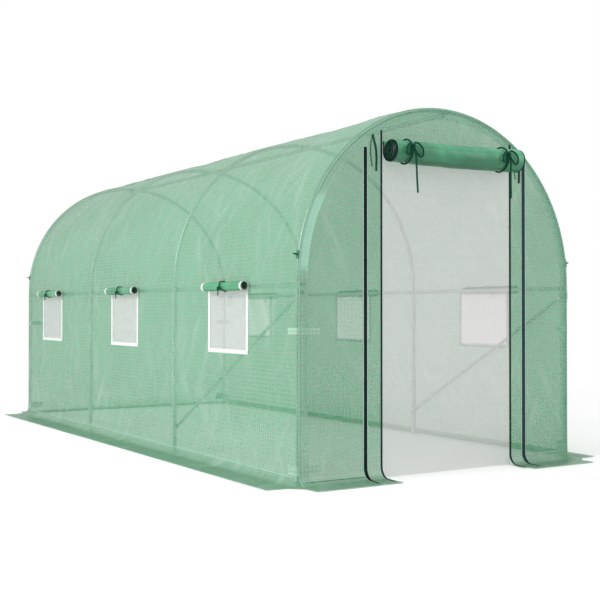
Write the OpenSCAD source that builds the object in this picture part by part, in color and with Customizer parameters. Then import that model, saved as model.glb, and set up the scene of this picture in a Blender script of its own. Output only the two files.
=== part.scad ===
/* [Cover] */
// Width of the cover over its two side walls
cover_w = 2000; // [1900:10:2300]
// Length of the cover over its two end panels
cover_l = 4630; // [4500:10:5400]
// Height of the upright side walls, up to the spring of the arch
wall_h = 1100; // [1000:10:1250]
// Thickness of the cover sheet
cover_t = 3; // [2:0.5:4]
// Width of the ground skirt beyond the walls
skirt_w = 208; // [180:1:300]
// Radius of the bend between wall and skirt
cove_r = 60; // [50:1:100]
// Width of the flat rim round the skirt's corners
corner_rim = 24; // [10:1:60]
// Angle of the roof's crown sheet, between the two haunch sheets
crown_angle = 60; // [40:1:90]

/* [Frame] */
// Diameter of the hoop, ridge and rail tubes
tube_d = 25; // [19:0.5:32]
// Height of the side rails below the spring of the arch
rail_drop = 35; // [20:1:120]
// Diameter of the diagonal brace poles
brace_d = 19; // [16:0.5:25]
// Height of the brace's upper bolt below the side rail
brace_drop = 45; // [40:1:90]
// Height of the brace's lower bolt above the ground
brace_foot = 170; // [120:5:300]
// Thickness of the brace's flattened ends
brace_tab_t = 6; // [4:0.5:8]
// Visible gap between two tube sections at a swaged joint
joint_gap = 6; // [3:0.5:12]
// Depth of the swaged neck below the tube's surface
swage_step = 1.5; // [1:0.1:2.5]
// Length of a brace's flattened end beyond its bolt
brace_end = 15; // [10:1:18]
// Clearance between curved faces that rest on each other
seat = 0.3; // [0.2:0.05:0.5]

/* [Doorway] */
// Sideways place of the doorway's middle line
door_shift = 30; // [-60:1:60]
// Width of the screen door, between the inner zips
door_w = 960; // [800:1:1000]
// Width of the cover strip between an inner and an outer zip
strip_w = 109; // [80:1:125]
// Depth of the doorway's head below the crown of the arch
head_drop = 250; // [235:1:320]
// Thickness of the mesh screen door
screen_t = 2; // [1:0.5:3]
// Width of an inner zip
inner_zip_w = 13; // [8:0.5:16]
// Width of an outer zip
outer_zip_w = 20; // [10:0.5:22]
// Thickness of a zip
zip_t = 3; // [2:0.5:5]
// Rise of the inner zips above the doorway's head
inner_zip_rise = 80; // [40:1:100]
// Fall of the outer zips below the doorway's head
outer_zip_fall = 22; // [0:1:60]
// Distance of the zips' lower ends from the skirt's edge
zip_end = 28; // [4:1:60]

/* [Door roll] */
// Diameter of the rolled-up door
door_roll_d = 134; // [110:1:136]
// Length by which the rolled-up door is shorter than the doorway is wide
door_roll_margin = 20; // [16:1:60]
// Height of the roll's axis below the doorway's head
door_roll_drop = 30; // [20:1:60]
// Height of the roll's sewn hem above its axis
door_hem_rise = 85; // [75:1:100]
// Height of the roll's sewn hem
door_hem_h = 18; // [12:1:24]
// Thickness of the rolled door's layers
door_layer_t = 6; // [4:0.5:8]
// Distance between the rolled door's turns
door_layer_pitch = 13; // [10:0.5:16]
// Turns in the rolled door
door_turns = 3.75; // [2.75:0.25:4]
// Distance of the left tie from the left end of the roll
door_tie_left = 105; // [80:1:200]
// Distance of the right tie from the right end of the roll
door_tie_right = 135; // [80:1:200]
// Angle of the knots round the door roll, from the front panel over the top
door_knot_angle = 142; // [138:1:146]

/* [Windows] */
// Width of a window over its border
win_w = 500; // [400:1:560]
// Height of a window over its border
win_h = 395; // [320:1:450]
// Width of the window's border
win_border = 24; // [15:1:40]
// Thickness of the window's border
win_border_t = 2; // [1:0.5:3]
// Thickness of the window's mesh
win_screen_t = 1.5; // [1:0.5:2.5]
// Distance of the window's head below the spring of the arch
win_drop = 30; // [30:1:70]
// Distance of the first window's middle from the front end panel
win_first = 785; // [650:1:850]
// Distance of the last window's middle from the rear end panel
win_last = 677; // [650:1:850]
// Diameter of a rolled-up window flap
win_roll_d = 64; // [50:1:70]
// Length of a rolled-up window flap
win_roll_l = 500; // [440:1:560]
// Distance of a rolled-up flap from the middle of its window, towards the doorway
win_roll_shift = 25; // [0:1:40]
// Height of the flap roll's axis above the window's head
win_roll_rise = 0; // [0:1:2]
// Thickness of the rolled flap's layers
win_layer_t = 4; // [3:0.5:5]
// Distance between the rolled flap's turns
win_layer_pitch = 8; // [6.5:0.5:10]
// Turns in the rolled flap
win_turns = 2.75; // [1.75:0.25:3]
// Height of the flap roll's sewn hem
win_hem_h = 12; // [8:1:16]
// Angle of the knots round the flap rolls, from the wall over the top
win_knot_angle = 200; // [180:1:205]

/* [Ties and loops] */
// Diameter of the door's tie cords
door_tie_d = 6; // [4:0.5:8]
// Diameter of the windows' tie cords
win_tie_d = 5; // [3:0.5:7]
// Radius of the loops of a bow
bow_loop_r = 21; // [18:1:30]
// Rise of a bow's loops over its knot
bow_rise = 14; // [10:1:16]
// Gap between the two loops of a bow and the middle of its knot
bow_gap = 1; // [0.5:0.1:2]
// Angle left open between a tie and the hem it passes
tie_margin_angle = 3; // [2:0.5:5]
// Diameter of the screen's hanging straps
strap_d = 8; // [5:0.5:8]
// Diameter of the rope of the corner loops
loop_rope_d = 5; // [3:0.5:7]
// Radius of a corner loop, at the middle of its rope
loop_r = 9; // [7:0.5:14]
// Height of the corner loops above the spring of the arch
loop_rise = 127; // [60:1:250]
// Distance of the corner loops from the end panels
loop_inset = 14; // [12:1:40]

/* [Hidden] */
$fn = 64;

arch_r = cover_w / 2;
front_y = -cover_l / 2;
rear_y = cover_l / 2;
sheet_l = cover_l - 2 * cover_t;
cove_top = cove_r + cover_t;
crown_h = wall_h + arch_r;
haunch_angle = (180 - crown_angle) / 2;

// Hoops stand just inside the cover, evenly spaced from end to end
hoop_r = arch_r - cover_t - seat - tube_d / 2;
hoop_inset = cover_t + seat + tube_d / 2;
hoop_pitch = (cover_l - 2 * hoop_inset) / 3;
function hoop_y(i) = front_y + hoop_inset + i * hoop_pitch;
neck_d = tube_d - 2 * swage_step;
joint_angle = joint_gap / hoop_r * 180 / PI;

// Ridge and rails cross on the inner side of the hoops
ridge_z = wall_h + hoop_r - tube_d - seat;
rail_x = hoop_r - tube_d - seat;
rail_z = wall_h - rail_drop;
pole_l = sheet_l - 2;

// Braces bolt to the inner side of the legs of the first two hoops
brace_x = hoop_r - tube_d / 2 - seat - brace_tab_t / 2;
brace_top = rail_z - brace_drop;
brace_run = [0, hoop_pitch, brace_foot - brace_top];
brace_l = norm(brace_run);
brace_pitch_angle = atan2(brace_top - brace_foot, hoop_pitch);
brace_tab_w = brace_d * 1.3;
brace_tab_l = 2 * tube_d;

// Doorway lines on the front end
door_h = crown_h - head_drop;
inner_left_x = door_shift - door_w / 2;
inner_right_x = door_shift + door_w / 2;
outer_left_x = inner_left_x - strip_w;
outer_right_x = inner_right_x + strip_w;
zip_reach = skirt_w - zip_end;

// Rolled door: its axis stands clear of the front by the roll and one tie cord
door_roll_r = door_roll_d / 2;
door_roll_l = door_w - door_roll_margin;
door_roll_out = door_roll_r + door_tie_d + 2 * seat;
door_roll_y = front_y - door_roll_out;
door_roll_z = door_h - door_roll_drop;
door_roll_left = door_shift - door_roll_l / 2;
door_roll_right = door_shift + door_roll_l / 2;
door_tie_xs = [door_roll_left + door_tie_left, door_roll_right - door_tie_right];

// Windows and their rolled flaps
win_head = wall_h - win_drop;
win_sill = win_head - win_h;
win_pitch = (cover_l - win_first - win_last) / 2;
win_ys = [for (i = [0:2]) front_y + win_first + i * win_pitch];
win_roll_ys = [for (y = win_ys) y - win_roll_shift];
win_roll_r = win_roll_d / 2;
win_roll_out = win_roll_r + win_tie_d + win_border_t + 2 * seat;
win_roll_z = win_head + win_roll_rise;
win_hem_rise = win_drop - win_roll_rise - 2;

// Knots on the front of the rolls
door_knot_r = door_tie_d * 1.35;
win_knot_r = win_tie_d * 1.3;

// Free ends of the ties, as distances out, along and up from the knot
door_tail = [
    [1.5, 8, -7], [7.5, 9, -24], [12, 10, -40], [13, 11, -58], [13, 12, -76], [12, 13, -94],
    [12, 14, -112], [11, 15, -130], [11, 16, -148], [10, 17, -166], [10, 18, -184], [10, 19, -202],
    [10, 20, -220], [10, 21, -238], [10, 22, -256], [10, 23, -274], [10, 24, -290]
];
win_tail = [[1.5, 7, -5], [4, 7.5, -18], [4.5, 8, -31], [4, 9, -42]];
// Screen strap, as distances out of the front, along it and up from the doorway's head
screen_strap = [
    [4.5, -6, 48], [4.5, -2, 32], [4.5, 3, 15], [5, 8, -3], [5, 12, -21], [5, 15, -39], [5, 17, -57],
    [5, 18, -75], [5, 18, -93], [5, 17, -111], [5, 16, -129], [5, 16, -147]
];
cord_sides = 8;

// Places a profile drawn in Y and Z so that it runs along X
module along_x() {
    rotate([90, 0, 90])
        children();
}

// Places a profile drawn in X and Z so that it runs from the origin towards the front
module along_y() {
    rotate([90, 0, 0])
        children();
}

module mirrored_x(side) {
    flip = side == "left" ? 0 : 1;
    mirror([flip, 0, 0])
        children();
}

// Tube arc of a hoop between two angles, in the plane of the hoop
module tube_arc(from, to, d) {
    rotate([0, 0, from])
        rotate_extrude(angle = to - from)
            translate([hoop_r, 0])
                circle(d = d);
}

module hoop_leg(x, from, to, d) {
    translate([x, 0, from])
        cylinder(d = d, h = to - from);
}

// Hoop of two legs, two haunches and a crown, swaged into each other
module hoop(i) {
    haunch = haunch_angle;
    half = joint_angle / 2;
    color("silver")
        translate([0, hoop_y(i), 0]) {
            for (s = [-1, 1]) {
                hoop_leg(s * hoop_r, 0, wall_h - joint_gap / 2, tube_d);
                hoop_leg(s * hoop_r, wall_h - joint_gap, wall_h, neck_d);
            }
            translate([0, 0, wall_h])
                along_y() {
                    tube_arc(0, 180, neck_d);
                    tube_arc(half, haunch - half, tube_d);
                    tube_arc(haunch + half, 180 - haunch - half, tube_d);
                    tube_arc(180 - haunch + half, 180 - half, tube_d);
                }
        }
}

// Straight pole of three sections along the tunnel, swaged at the two middle hoops
module long_pole(x, z) {
    color("silver")
        translate([x, pole_l / 2, z])
            along_y() {
                cylinder(d = neck_d, h = pole_l);
                ends = [0, pole_l / 2 - hoop_pitch / 2, pole_l / 2 + hoop_pitch / 2, pole_l];
                for (k = [0:2])
                    translate([0, 0, ends[k] + (k == 0 ? 0 : joint_gap / 2)])
                        cylinder(
                            d = tube_d,
                            h = ends[k + 1] - ends[k] - (k == 1 ? joint_gap : joint_gap / 2)
                        );
            }
}

// Flattened and bolted end of a brace, growing into the round pole
module brace_tab() {
    translate([-brace_tab_t / 2, -brace_end, -brace_tab_w / 2])
        cube([brace_tab_t, brace_tab_l / 2 + brace_end, brace_tab_w]);
    hull() {
        translate([-brace_tab_t / 2, brace_tab_l / 2, -brace_tab_w / 2])
            cube([brace_tab_t, 1, brace_tab_w]);
        translate([0, brace_tab_l, 0])
            rotate([90, 0, 0])
                cylinder(d = brace_d, h = 1, $fn = 32);
    }
}

module brace(side) {
    color("silver")
        mirrored_x(side)
            translate([-brace_x, hoop_y(0), brace_top])
                rotate([-brace_pitch_angle, 0, 0]) {
                    brace_tab();
                    translate([0, brace_l, 0])
                        mirror([0, 1, 0])
                            brace_tab();
                    translate([0, brace_l - brace_tab_l + 1, 0])
                        rotate([90, 0, 0])
                            cylinder(d = brace_d, h = brace_l - 2 * brace_tab_l + 2, $fn = 32);
                }
}

// Outline of the tunnel's cross-section
module arch_outline() {
    translate([-arch_r, 0])
        square([cover_w, wall_h]);
    translate([0, wall_h])
        circle(arch_r, $fn = 128);
}

// Part of an end panel between two widths and two heights, with its outer face at y
module end_panel(y, x0, x1, z0, z1) {
    color("mediumseagreen")
        translate([0, y + cover_t, 0])
            along_y()
                linear_extrude(cover_t)
                    intersection() {
                        arch_outline();
                        translate([x0, z0])
                            square([x1 - x0, z1 - z0]);
                    }
}

module front_side_panel(x0, x1) {
    end_panel(front_y, x0, x1, cove_top, crown_h);
}

module front_head_panel() {
    end_panel(front_y, outer_left_x, outer_right_x, door_h, crown_h);
}

module wall_cover(side) {
    color("mediumseagreen")
        mirrored_x(side)
            difference() {
                translate([-arch_r, front_y + cover_t, cove_top])
                    cube([cover_t, sheet_l, wall_h - cove_top]);
                for (y = win_ys)
                    translate([-arch_r - 1, y - win_w / 2 + win_border, win_sill + win_border])
                        cube([cover_t + 2, win_w - 2 * win_border, win_h - 2 * win_border]);
            }
}

module roof_cover(from, to) {
    color("mediumseagreen")
        translate([0, rear_y - cover_t, wall_h])
            along_y()
                rotate([0, 0, from])
                    rotate_extrude(angle = to - from, $fn = 128)
                        translate([arch_r - cover_t, 0])
                            square([cover_t, sheet_l]);
}

// Profile of a sheet that runs down the wall, round the cove and out along the skirt.
// Off is its distance from the cover's outer face, and th its thickness.
module bent_profile(off, th, top, reach) {
    upper = cove_r - off - th;
    intersection() {
        translate([cove_r, cove_top])
            difference() {
                circle(cove_r - off);
                circle(upper);
            }
        translate([off, cover_t + off])
            square([cove_r - off, cove_r - off]);
    }
    translate([cove_r, cover_t + off])
        square([reach - cove_r, th]);
    if (top > cove_top)
        translate([off, cove_top])
            square([th, top - cove_top]);
}

// Bent sheet on the front, between two widths
module front_bent_sheet(x0, x1, off, th, top, reach) {
    translate([x0, front_y, 0])
        along_x()
            linear_extrude(x1 - x0)
                mirror([1, 0])
                    bent_profile(off, th, top, reach);
}

module side_skirt(side) {
    color("mediumseagreen")
        mirrored_x(side)
            translate([-arch_r, rear_y - cover_t, 0])
                along_y()
                    linear_extrude(sheet_l)
                        mirror([1, 0])
                            bent_profile(-cover_t, cover_t, cove_top, skirt_w);
}

module corner_profile() {
    intersection() {
        bent_profile(-cover_t, cover_t, cove_top, cove_r + corner_rim);
        square([cove_r + corner_rim, cove_top]);
    }
}

// Rounded skirt corner at the left of the front, turned about the cover's corner edge.
// A narrow strip carries it on to the end of the side skirt.
module skirt_corner() {
    translate([-arch_r, front_y, 0]) {
        rotate([0, 0, 180])
            rotate_extrude(angle = 90)
                corner_profile();
        translate([0, cover_t, 0])
            along_y()
                linear_extrude(cover_t)
                    mirror([1, 0])
                        corner_profile();
    }
}

// Skirt across an end, from its left corner to a width
module end_skirt(to_x) {
    front_bent_sheet(-arch_r, to_x, -cover_t, cover_t, cove_top, skirt_w);
    skirt_corner();
}

module front_skirt(side) {
    color("mediumseagreen")
        mirrored_x(side)
            end_skirt(side == "left" ? outer_left_x : -outer_right_x);
}

module rear_skirt() {
    color("mediumseagreen")
        mirror([0, 1, 0]) {
            end_skirt(arch_r);
            mirror([1, 0, 0])
                skirt_corner();
        }
}

module door_strip(x0, x1) {
    color("mediumseagreen")
        front_bent_sheet(x0, x1, -cover_t, cover_t, door_h, skirt_w);
}

module zip(x, w, top) {
    front_bent_sheet(x - w / 2, x + w / 2, seat, zip_t, top, zip_reach);
}

module zips(inner_x, outer_x) {
    color("darkslategray") {
        zip(inner_x, inner_zip_w, door_h + inner_zip_rise);
        zip(outer_x, outer_zip_w, door_h - outer_zip_fall);
    }
}

module screen_door() {
    color("lightgray")
        translate([inner_left_x, front_y, 0])
            cube([door_w, screen_t, door_h]);
}

// Cross-section of a rolled flap that hangs from a sewn hem. The roll's axis is the origin,
// and the face that carries the hem stands at the distance out.
module rolled_profile(r, layer_t, pitch, turns, out, rise, hem_h) {
    step = 15;
    last = turns * 360;
    function turn_r(a) = r - pitch * a / 360;
    hem = [[out - seat, rise], [out - seat, rise - hem_h], [r, rise - hem_h]];
    outer = [for (a = [0:step:last]) turn_r(a) * [cos(a), -sin(a)]];
    inner = [for (a = [last:-step:0]) (turn_r(a) - layer_t) * [cos(a), -sin(a)]];
    polygon(concat(hem, outer, inner, [[r - layer_t, rise]]));
}

module door_roll() {
    color("seagreen")
        translate([door_roll_left, door_roll_y, door_roll_z])
            along_x()
                linear_extrude(door_roll_l)
                    rolled_profile(
                        door_roll_r, door_layer_t, door_layer_pitch, door_turns,
                        door_roll_out, door_hem_rise, door_hem_h
                    );
}

module window_rolls(side) {
    color("seagreen")
        mirrored_x(side)
            for (y = win_roll_ys)
                translate([-arch_r - win_roll_out, y + win_roll_l / 2, win_roll_z])
                    along_y()
                        linear_extrude(win_roll_l)
                            rolled_profile(
                                win_roll_r, win_layer_t, win_layer_pitch, win_turns,
                                win_roll_out, win_hem_rise, win_hem_h
                            );
}

// Cord round a roll, from the front of the hanging sheet to the back of it, with a knot
module tie_ring(r, layer_t, cord_d, knot_angle, knot_r) {
    start = acos((r - layer_t - seat) / (r + seat + cord_d)) + tie_margin_angle;
    rotate([0, 0, start])
        rotate_extrude(angle = 360 - start - tie_margin_angle)
            translate([r + seat + cord_d / 2, 0])
                circle(d = cord_d, $fn = 16);
    rotate([0, 0, knot_angle])
        translate([r + seat + knot_r, 0, 0])
            sphere(knot_r, $fn = 32);
}

module bow_loops(r, cord_d, knot_angle) {
    rotate([0, 0, knot_angle])
        for (s = [-1, 1])
            translate([r + seat + cord_d / 2, -bow_rise, s * (bow_loop_r + cord_d / 2 + bow_gap)])
                rotate([0, 90, 0])
                    rotate_extrude($fn = 32)
                        translate([bow_loop_r, 0])
                            circle(d = cord_d, $fn = 16);
}

module door_ties() {
    color("darkgreen")
        for (x = door_tie_xs)
            translate([x, door_roll_y, door_roll_z])
                along_x() {
                    tie_ring(door_roll_r, door_layer_t, door_tie_d, door_knot_angle, door_knot_r);
                    bow_loops(door_roll_r, door_tie_d, door_knot_angle);
                }
}

module window_ties(side) {
    color("darkgreen")
        mirrored_x(side)
            for (y = win_roll_ys)
                translate([-arch_r - win_roll_out, y, win_roll_z])
                    along_y()
                        tie_ring(win_roll_r, win_layer_t, win_tie_d, win_knot_angle, win_knot_r);
}

// Round cord swept along a list of points
module cord(route, d) {
    last = len(route) - 1;
    function heading(i) = route[min(i + 1, last)] - route[max(i - 1, 0)];
    function across(i) = cross(heading(i), [1, 0, 0]) / norm(cross(heading(i), [1, 0, 0]));
    function beside(i) = cross(heading(i), across(i)) / norm(heading(i));
    function ring(i) = [
        for (k = [0:cord_sides - 1])
            let (a = 360 * k / cord_sides)
                route[i] + d / 2 * (cos(a) * across(i) + sin(a) * beside(i))
    ];
    points = [for (i = [0:last]) each ring(i)];
    sides = [
        for (i = [0:last - 1], k = [0:cord_sides - 1])
            let (next = (k + 1) % cord_sides)
                [
                    i * cord_sides + k, (i + 1) * cord_sides + k,
                    (i + 1) * cord_sides + next, i * cord_sides + next
                ]
    ];
    first_cap = [for (k = [0:cord_sides - 1]) k];
    last_cap = [for (k = [cord_sides - 1:-1:0]) last * cord_sides + k];
    polyhedron(points, concat(sides, [first_cap], [last_cap]));
}

// Knot's distance out and up from the axis of its roll
function knot_out(r, knot_r, angle) = -(r + seat + knot_r) * cos(angle);
function knot_up(r, knot_r, angle) = (r + seat + knot_r) * sin(angle);

module door_tie_tails() {
    y = door_roll_y - knot_out(door_roll_r, door_knot_r, door_knot_angle);
    z = door_roll_z + knot_up(door_roll_r, door_knot_r, door_knot_angle);
    color("darkgreen")
        for (x = door_tie_xs)
            cord([for (p = door_tail) [x + p[1], y - p[0], z + p[2]]], door_tie_d);
}

module tie_tails(side) {
    x = -arch_r - win_roll_out - knot_out(win_roll_r, win_knot_r, win_knot_angle);
    z = win_roll_z + knot_up(win_roll_r, win_knot_r, win_knot_angle);
    color("darkgreen")
        mirrored_x(side)
            for (y = win_roll_ys)
                cord([for (p = win_tail) [x - p[0], y + p[1], z + p[2]]], win_tie_d);
}

module screen_straps() {
    color("darkgreen")
        for (x = [(inner_left_x + outer_left_x) / 2, (inner_right_x + outer_right_x) / 2])
            cord([for (p = screen_strap) [x + p[1], front_y - p[0], door_h + p[2]]], strap_d);
}

module window_borders(side) {
    color("white")
        mirrored_x(side)
            for (y = win_ys)
                translate([-arch_r - win_border_t, y - win_w / 2, win_sill])
                    difference() {
                        cube([win_border_t, win_w, win_h]);
                        translate([-1, win_border, win_border])
                            cube([win_border_t + 2, win_w - 2 * win_border, win_h - 2 * win_border]);
                    }
}

module window_screens(side) {
    color("lightgray")
        mirrored_x(side)
            for (y = win_ys)
                translate([-arch_r + cover_t, y - win_w / 2, win_sill])
                    cube([win_screen_t, win_w, win_h]);
}

// Rope loops on the edges of the cover, one at each corner
module corner_loops() {
    out = arch_r + seat + loop_rope_d / 2 + loop_r;
    rise_angle = asin(loop_rise / out);
    color("darkgreen")
        for (sx = [-1, 1], sy = [-1, 1])
            translate([sx * out * cos(rise_angle), sy * (cover_l / 2 - loop_inset), wall_h + loop_rise])
                rotate([0, -sx * rise_angle, 0])
                    rotate_extrude()
                        translate([loop_r, 0])
                            circle(d = loop_rope_d, $fn = 24);
}

hoop(0);  // hoop_front
hoop(1);  // hoop_second
hoop(2);  // hoop_third
hoop(3);  // hoop_rear
long_pole(0, ridge_z);  // ridge_beam
long_pole(-rail_x, rail_z);  // left_rail
long_pole(rail_x, rail_z);  // right_rail
brace("left");  // left_brace
brace("right");  // right_brace
wall_cover("left");  // left_wall_cover
wall_cover("right");  // right_wall_cover
roof_cover(0, haunch_angle);  // roof_right_cover
roof_cover(haunch_angle, 180 - haunch_angle);  // roof_crown_cover
roof_cover(180 - haunch_angle, 180);  // roof_left_cover
end_panel(rear_y - cover_t, -arch_r, arch_r, cove_top, crown_h);  // rear_panel
front_side_panel(-arch_r, outer_left_x);  // front_panel_left
front_side_panel(outer_right_x, arch_r);  // front_panel_right
front_head_panel();  // front_panel_top
door_strip(outer_left_x, inner_left_x);  // door_strip_left
door_strip(inner_right_x, outer_right_x);  // door_strip_right
side_skirt("left");  // left_skirt
side_skirt("right");  // right_skirt
rear_skirt();
front_skirt("left");  // front_skirt_left
front_skirt("right");  // front_skirt_right
screen_door();
zips(inner_left_x, outer_left_x);  // left_zips
zips(inner_right_x, outer_right_x);  // right_zips
door_roll();
door_ties();
door_tie_tails();
screen_straps();
window_borders("left");  // left_window_borders
window_borders("right");  // right_window_borders
window_screens("left");  // left_window_screens
window_screens("right");  // right_window_screens
window_rolls("left");  // left_window_rolls
window_rolls("right");  // right_window_rolls
window_ties("left");  // left_window_ties
window_ties("right");  // right_window_ties
tie_tails("left");  // left_tie_tails
tie_tails("right");  // right_tie_tails
corner_loops();
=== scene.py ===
"""Looks of the polytunnel greenhouse: cover sheets, mesh, rolls, zips, cords and their finishes."""
import math

import bpy
import numpy as np
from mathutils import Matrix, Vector, noise


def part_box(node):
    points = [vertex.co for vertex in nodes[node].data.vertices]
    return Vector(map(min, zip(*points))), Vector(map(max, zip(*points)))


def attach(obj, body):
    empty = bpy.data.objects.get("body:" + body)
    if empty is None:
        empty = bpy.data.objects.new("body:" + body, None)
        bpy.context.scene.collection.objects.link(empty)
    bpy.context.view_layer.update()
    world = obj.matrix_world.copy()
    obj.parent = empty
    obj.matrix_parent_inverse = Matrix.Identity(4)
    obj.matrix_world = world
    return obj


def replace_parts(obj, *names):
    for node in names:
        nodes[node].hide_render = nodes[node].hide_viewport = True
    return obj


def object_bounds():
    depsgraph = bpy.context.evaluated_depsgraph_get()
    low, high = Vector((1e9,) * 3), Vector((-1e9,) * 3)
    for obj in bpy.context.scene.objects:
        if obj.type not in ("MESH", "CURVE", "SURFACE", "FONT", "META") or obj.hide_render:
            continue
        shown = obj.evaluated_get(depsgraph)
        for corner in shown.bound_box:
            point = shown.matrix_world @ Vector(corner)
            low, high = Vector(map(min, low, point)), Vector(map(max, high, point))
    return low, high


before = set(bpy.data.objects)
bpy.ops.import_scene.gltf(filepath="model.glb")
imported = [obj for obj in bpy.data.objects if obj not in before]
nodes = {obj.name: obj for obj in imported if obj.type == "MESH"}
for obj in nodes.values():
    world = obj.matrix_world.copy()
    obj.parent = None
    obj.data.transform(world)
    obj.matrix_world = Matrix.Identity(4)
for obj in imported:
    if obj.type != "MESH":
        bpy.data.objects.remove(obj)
cad_low, cad_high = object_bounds()
SIDES = (("left", -1), ("right", 1))


def node_size(name, axis):
    """Size of a CAD node along one axis."""
    low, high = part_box(name)
    return high[axis] - low[axis]


def node_middle(name, axis):
    """Middle of a CAD node along one axis."""
    low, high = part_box(name)
    return (low[axis] + high[axis]) / 2


def spans(name, axis, gap=0.75):
    """Lowest and highest value along an axis of each separate group of a node's points."""
    values = np.sort([v.co[axis] for v in nodes[name].data.vertices])
    groups = np.split(values, np.flatnonzero(np.diff(values) > gap) + 1)
    return [(float(g[0]), float(g[-1])) for g in groups]


# Cover, from the frame
COVER_T = node_size("rear_panel", 1)
HALF_T = COVER_T / 2
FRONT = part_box("front_panel_top")[0].y
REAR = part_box("rear_panel")[1].y
HALF_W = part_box("rear_panel")[1].x
COVE_TOP, WALL_H = (corner.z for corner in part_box("left_wall_cover"))
COVE_R = COVE_TOP - COVER_T
SKIRT = cad_high.x - HALF_W
HOOPS = [node_middle(f"hoop_{place}", 1) for place in ("front", "second", "third", "rear")]

# Doorway, from the frame
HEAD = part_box("screen_door")[1].z
INNER_X = tuple(corner.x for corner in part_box("screen_door"))
OUTER_X = (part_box("door_strip_left")[0].x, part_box("door_strip_right")[1].x)
zips_low, zips_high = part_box("left_zips")
INNER_ZIP_W = 2 * (zips_high.x - INNER_X[0])
OUTER_ZIP_W = 2 * (OUTER_X[0] - zips_low.x)
INNER_ZIP_TOP = zips_high.z
OUTER_ZIP_TOP = HEAD - 0.022
ZIP_REACH = FRONT - zips_low.y

# Windows, from the frame
WINDOWS = spans("left_window_borders", 1)
SILL, WIN_HEAD = (corner.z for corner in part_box("left_window_borders"))
BORDER_W = 0.024

# The thin sheet turns round the end hoops on this radius
EDGE_R = 0.014
ROOF_R = HALF_W - HALF_T
GABLE_R = ROOF_R - EDGE_R


# Node trees

def new_material(name):
    """A node material and its empty tree."""
    material = bpy.data.materials.new(name)
    material.use_nodes = True
    material.node_tree.nodes.clear()
    return material, material.node_tree


def add(tree, kind, inputs=(), **settings):
    """A node with its settings; an input is a value or the output that feeds it."""
    made = tree.nodes.new("ShaderNode" + kind)
    for key, value in settings.items():
        setattr(made, key, value)
    for key, value in dict(inputs).items():
        if isinstance(value, bpy.types.NodeSocket):
            tree.links.new(value, made.inputs[key])
        else:
            made.inputs[key].default_value = value
    return made


def surfaced(material, tree, shader):
    """The material, with a shader on its surface."""
    add(tree, "OutputMaterial", {"Surface": shader.outputs[0]})
    return material


def principled(tree, colour, rough, normal, more=()):
    """The usual shader of a surface, with more inputs by name."""
    inputs = {"Base Color": colour, "Roughness": rough, "Normal": normal, **dict(more)}
    return add(tree, "BsdfPrincipled", inputs)


def blended(tree, share, first, second):
    """Two shaders mixed, by the share of the second."""
    return add(tree, "MixShader", {0: share, 1: first.outputs[0], 2: second.outputs[0]})


def calc(tree, operation, a, b=0.0):
    """One number worked out from two."""
    return add(tree, "Math", {0: a, 1: b}, operation=operation).outputs[0]


def times(tree, a, b):
    """Two numbers multiplied."""
    return calc(tree, "MULTIPLY", a, b)


def larger(tree, a, b):
    """The larger of two numbers."""
    return calc(tree, "MAXIMUM", a, b)


def apart(tree, a, b):
    """How far two numbers are apart."""
    return calc(tree, "ABSOLUTE", calc(tree, "SUBTRACT", a, b))


def zigzag(tree, value, pitch):
    """0 at each whole pitch, 0.5 halfway between two."""
    return calc(tree, "PINGPONG", calc(tree, "DIVIDE", value, pitch), 0.5)


def remap(tree, value, low, high, to_low=0.0, to_high=1.0):
    """A value between two limits, eased into another range."""
    inputs = {"Value": value, "From Min": low, "From Max": high, "To Min": to_low, "To Max": to_high}
    return add(tree, "MapRange", inputs, interpolation_type="SMOOTHSTEP").outputs["Result"]


def mix(tree, factor, a, b):
    """One colour blended into another."""
    made = add(tree, "Mix", {"Factor": factor}, data_type="RGBA")
    for socket, value in ((made.inputs[6], a), (made.inputs[7], b)):
        if isinstance(value, bpy.types.NodeSocket):
            tree.links.new(value, socket)
        else:
            socket.default_value = (*value, 1.0)
    return made.outputs[2]


def place_of(tree, source):
    """X, Y and Z of each point, as UV or in metres as Object."""
    return add(tree, "SeparateXYZ", {"Vector": add(tree, "TexCoord").outputs[source]}).outputs


def cloud(tree, scale, stretch=(1, 1, 1), detail=3.0, source="Object", turn=0.0):
    """Smooth noise from 0 to 1, over places that are turned and then stretched."""
    inputs = {"Vector": add(tree, "TexCoord").outputs[source], "Rotation": (0, 0, turn),
              "Scale": [1 / v for v in stretch]}
    place = add(tree, "Mapping", inputs, vector_type="TEXTURE").outputs["Vector"]
    return add(tree, "TexNoise", {"Vector": place, "Scale": scale, "Detail": detail}).outputs["Fac"]


def patches(tree, scale, low=0.0, high=1.0):
    """Soft patches of one value in another."""
    return remap(tree, cloud(tree, scale), 0.3, 0.7, low, high)


def lines(tree, axis, pitch, half_width):
    """1 on evenly spaced lines across one UV axis, 0 between them; half_width is a share of the pitch."""
    off = zigzag(tree, place_of(tree, "UV")[axis], pitch)
    return remap(tree, off, half_width * 0.6, half_width * 1.4, 1.0, 0.0)


def bump(tree, height, strength, distance, below=None):
    """A normal from a height, on top of another one."""
    inputs = {"Height": height, "Strength": strength, "Distance": distance}
    if below is not None:
        inputs["Normal"] = below
    return add(tree, "Bump", inputs).outputs["Normal"]


# Materials

SCRIM_CELL, THREAD, CROSSING = 0.024, 0.085, 0.14
THREAD_COLOUR = (0.24, 0.325, 0.25)
CROSSING_TINT = (1.1, 0.8, 0.9)
# Painted highlight colours: on the film's folds and hoop legs, and on the left haunch
FOLD_HIGHLIGHT_COLOUR = (0.50, 0.72, 0.58)
LIT_COLOUR = (0.52, 0.86, 0.69)
FADE = 0.1
DULL = {"Specular IOR Level": 0.12}


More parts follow.
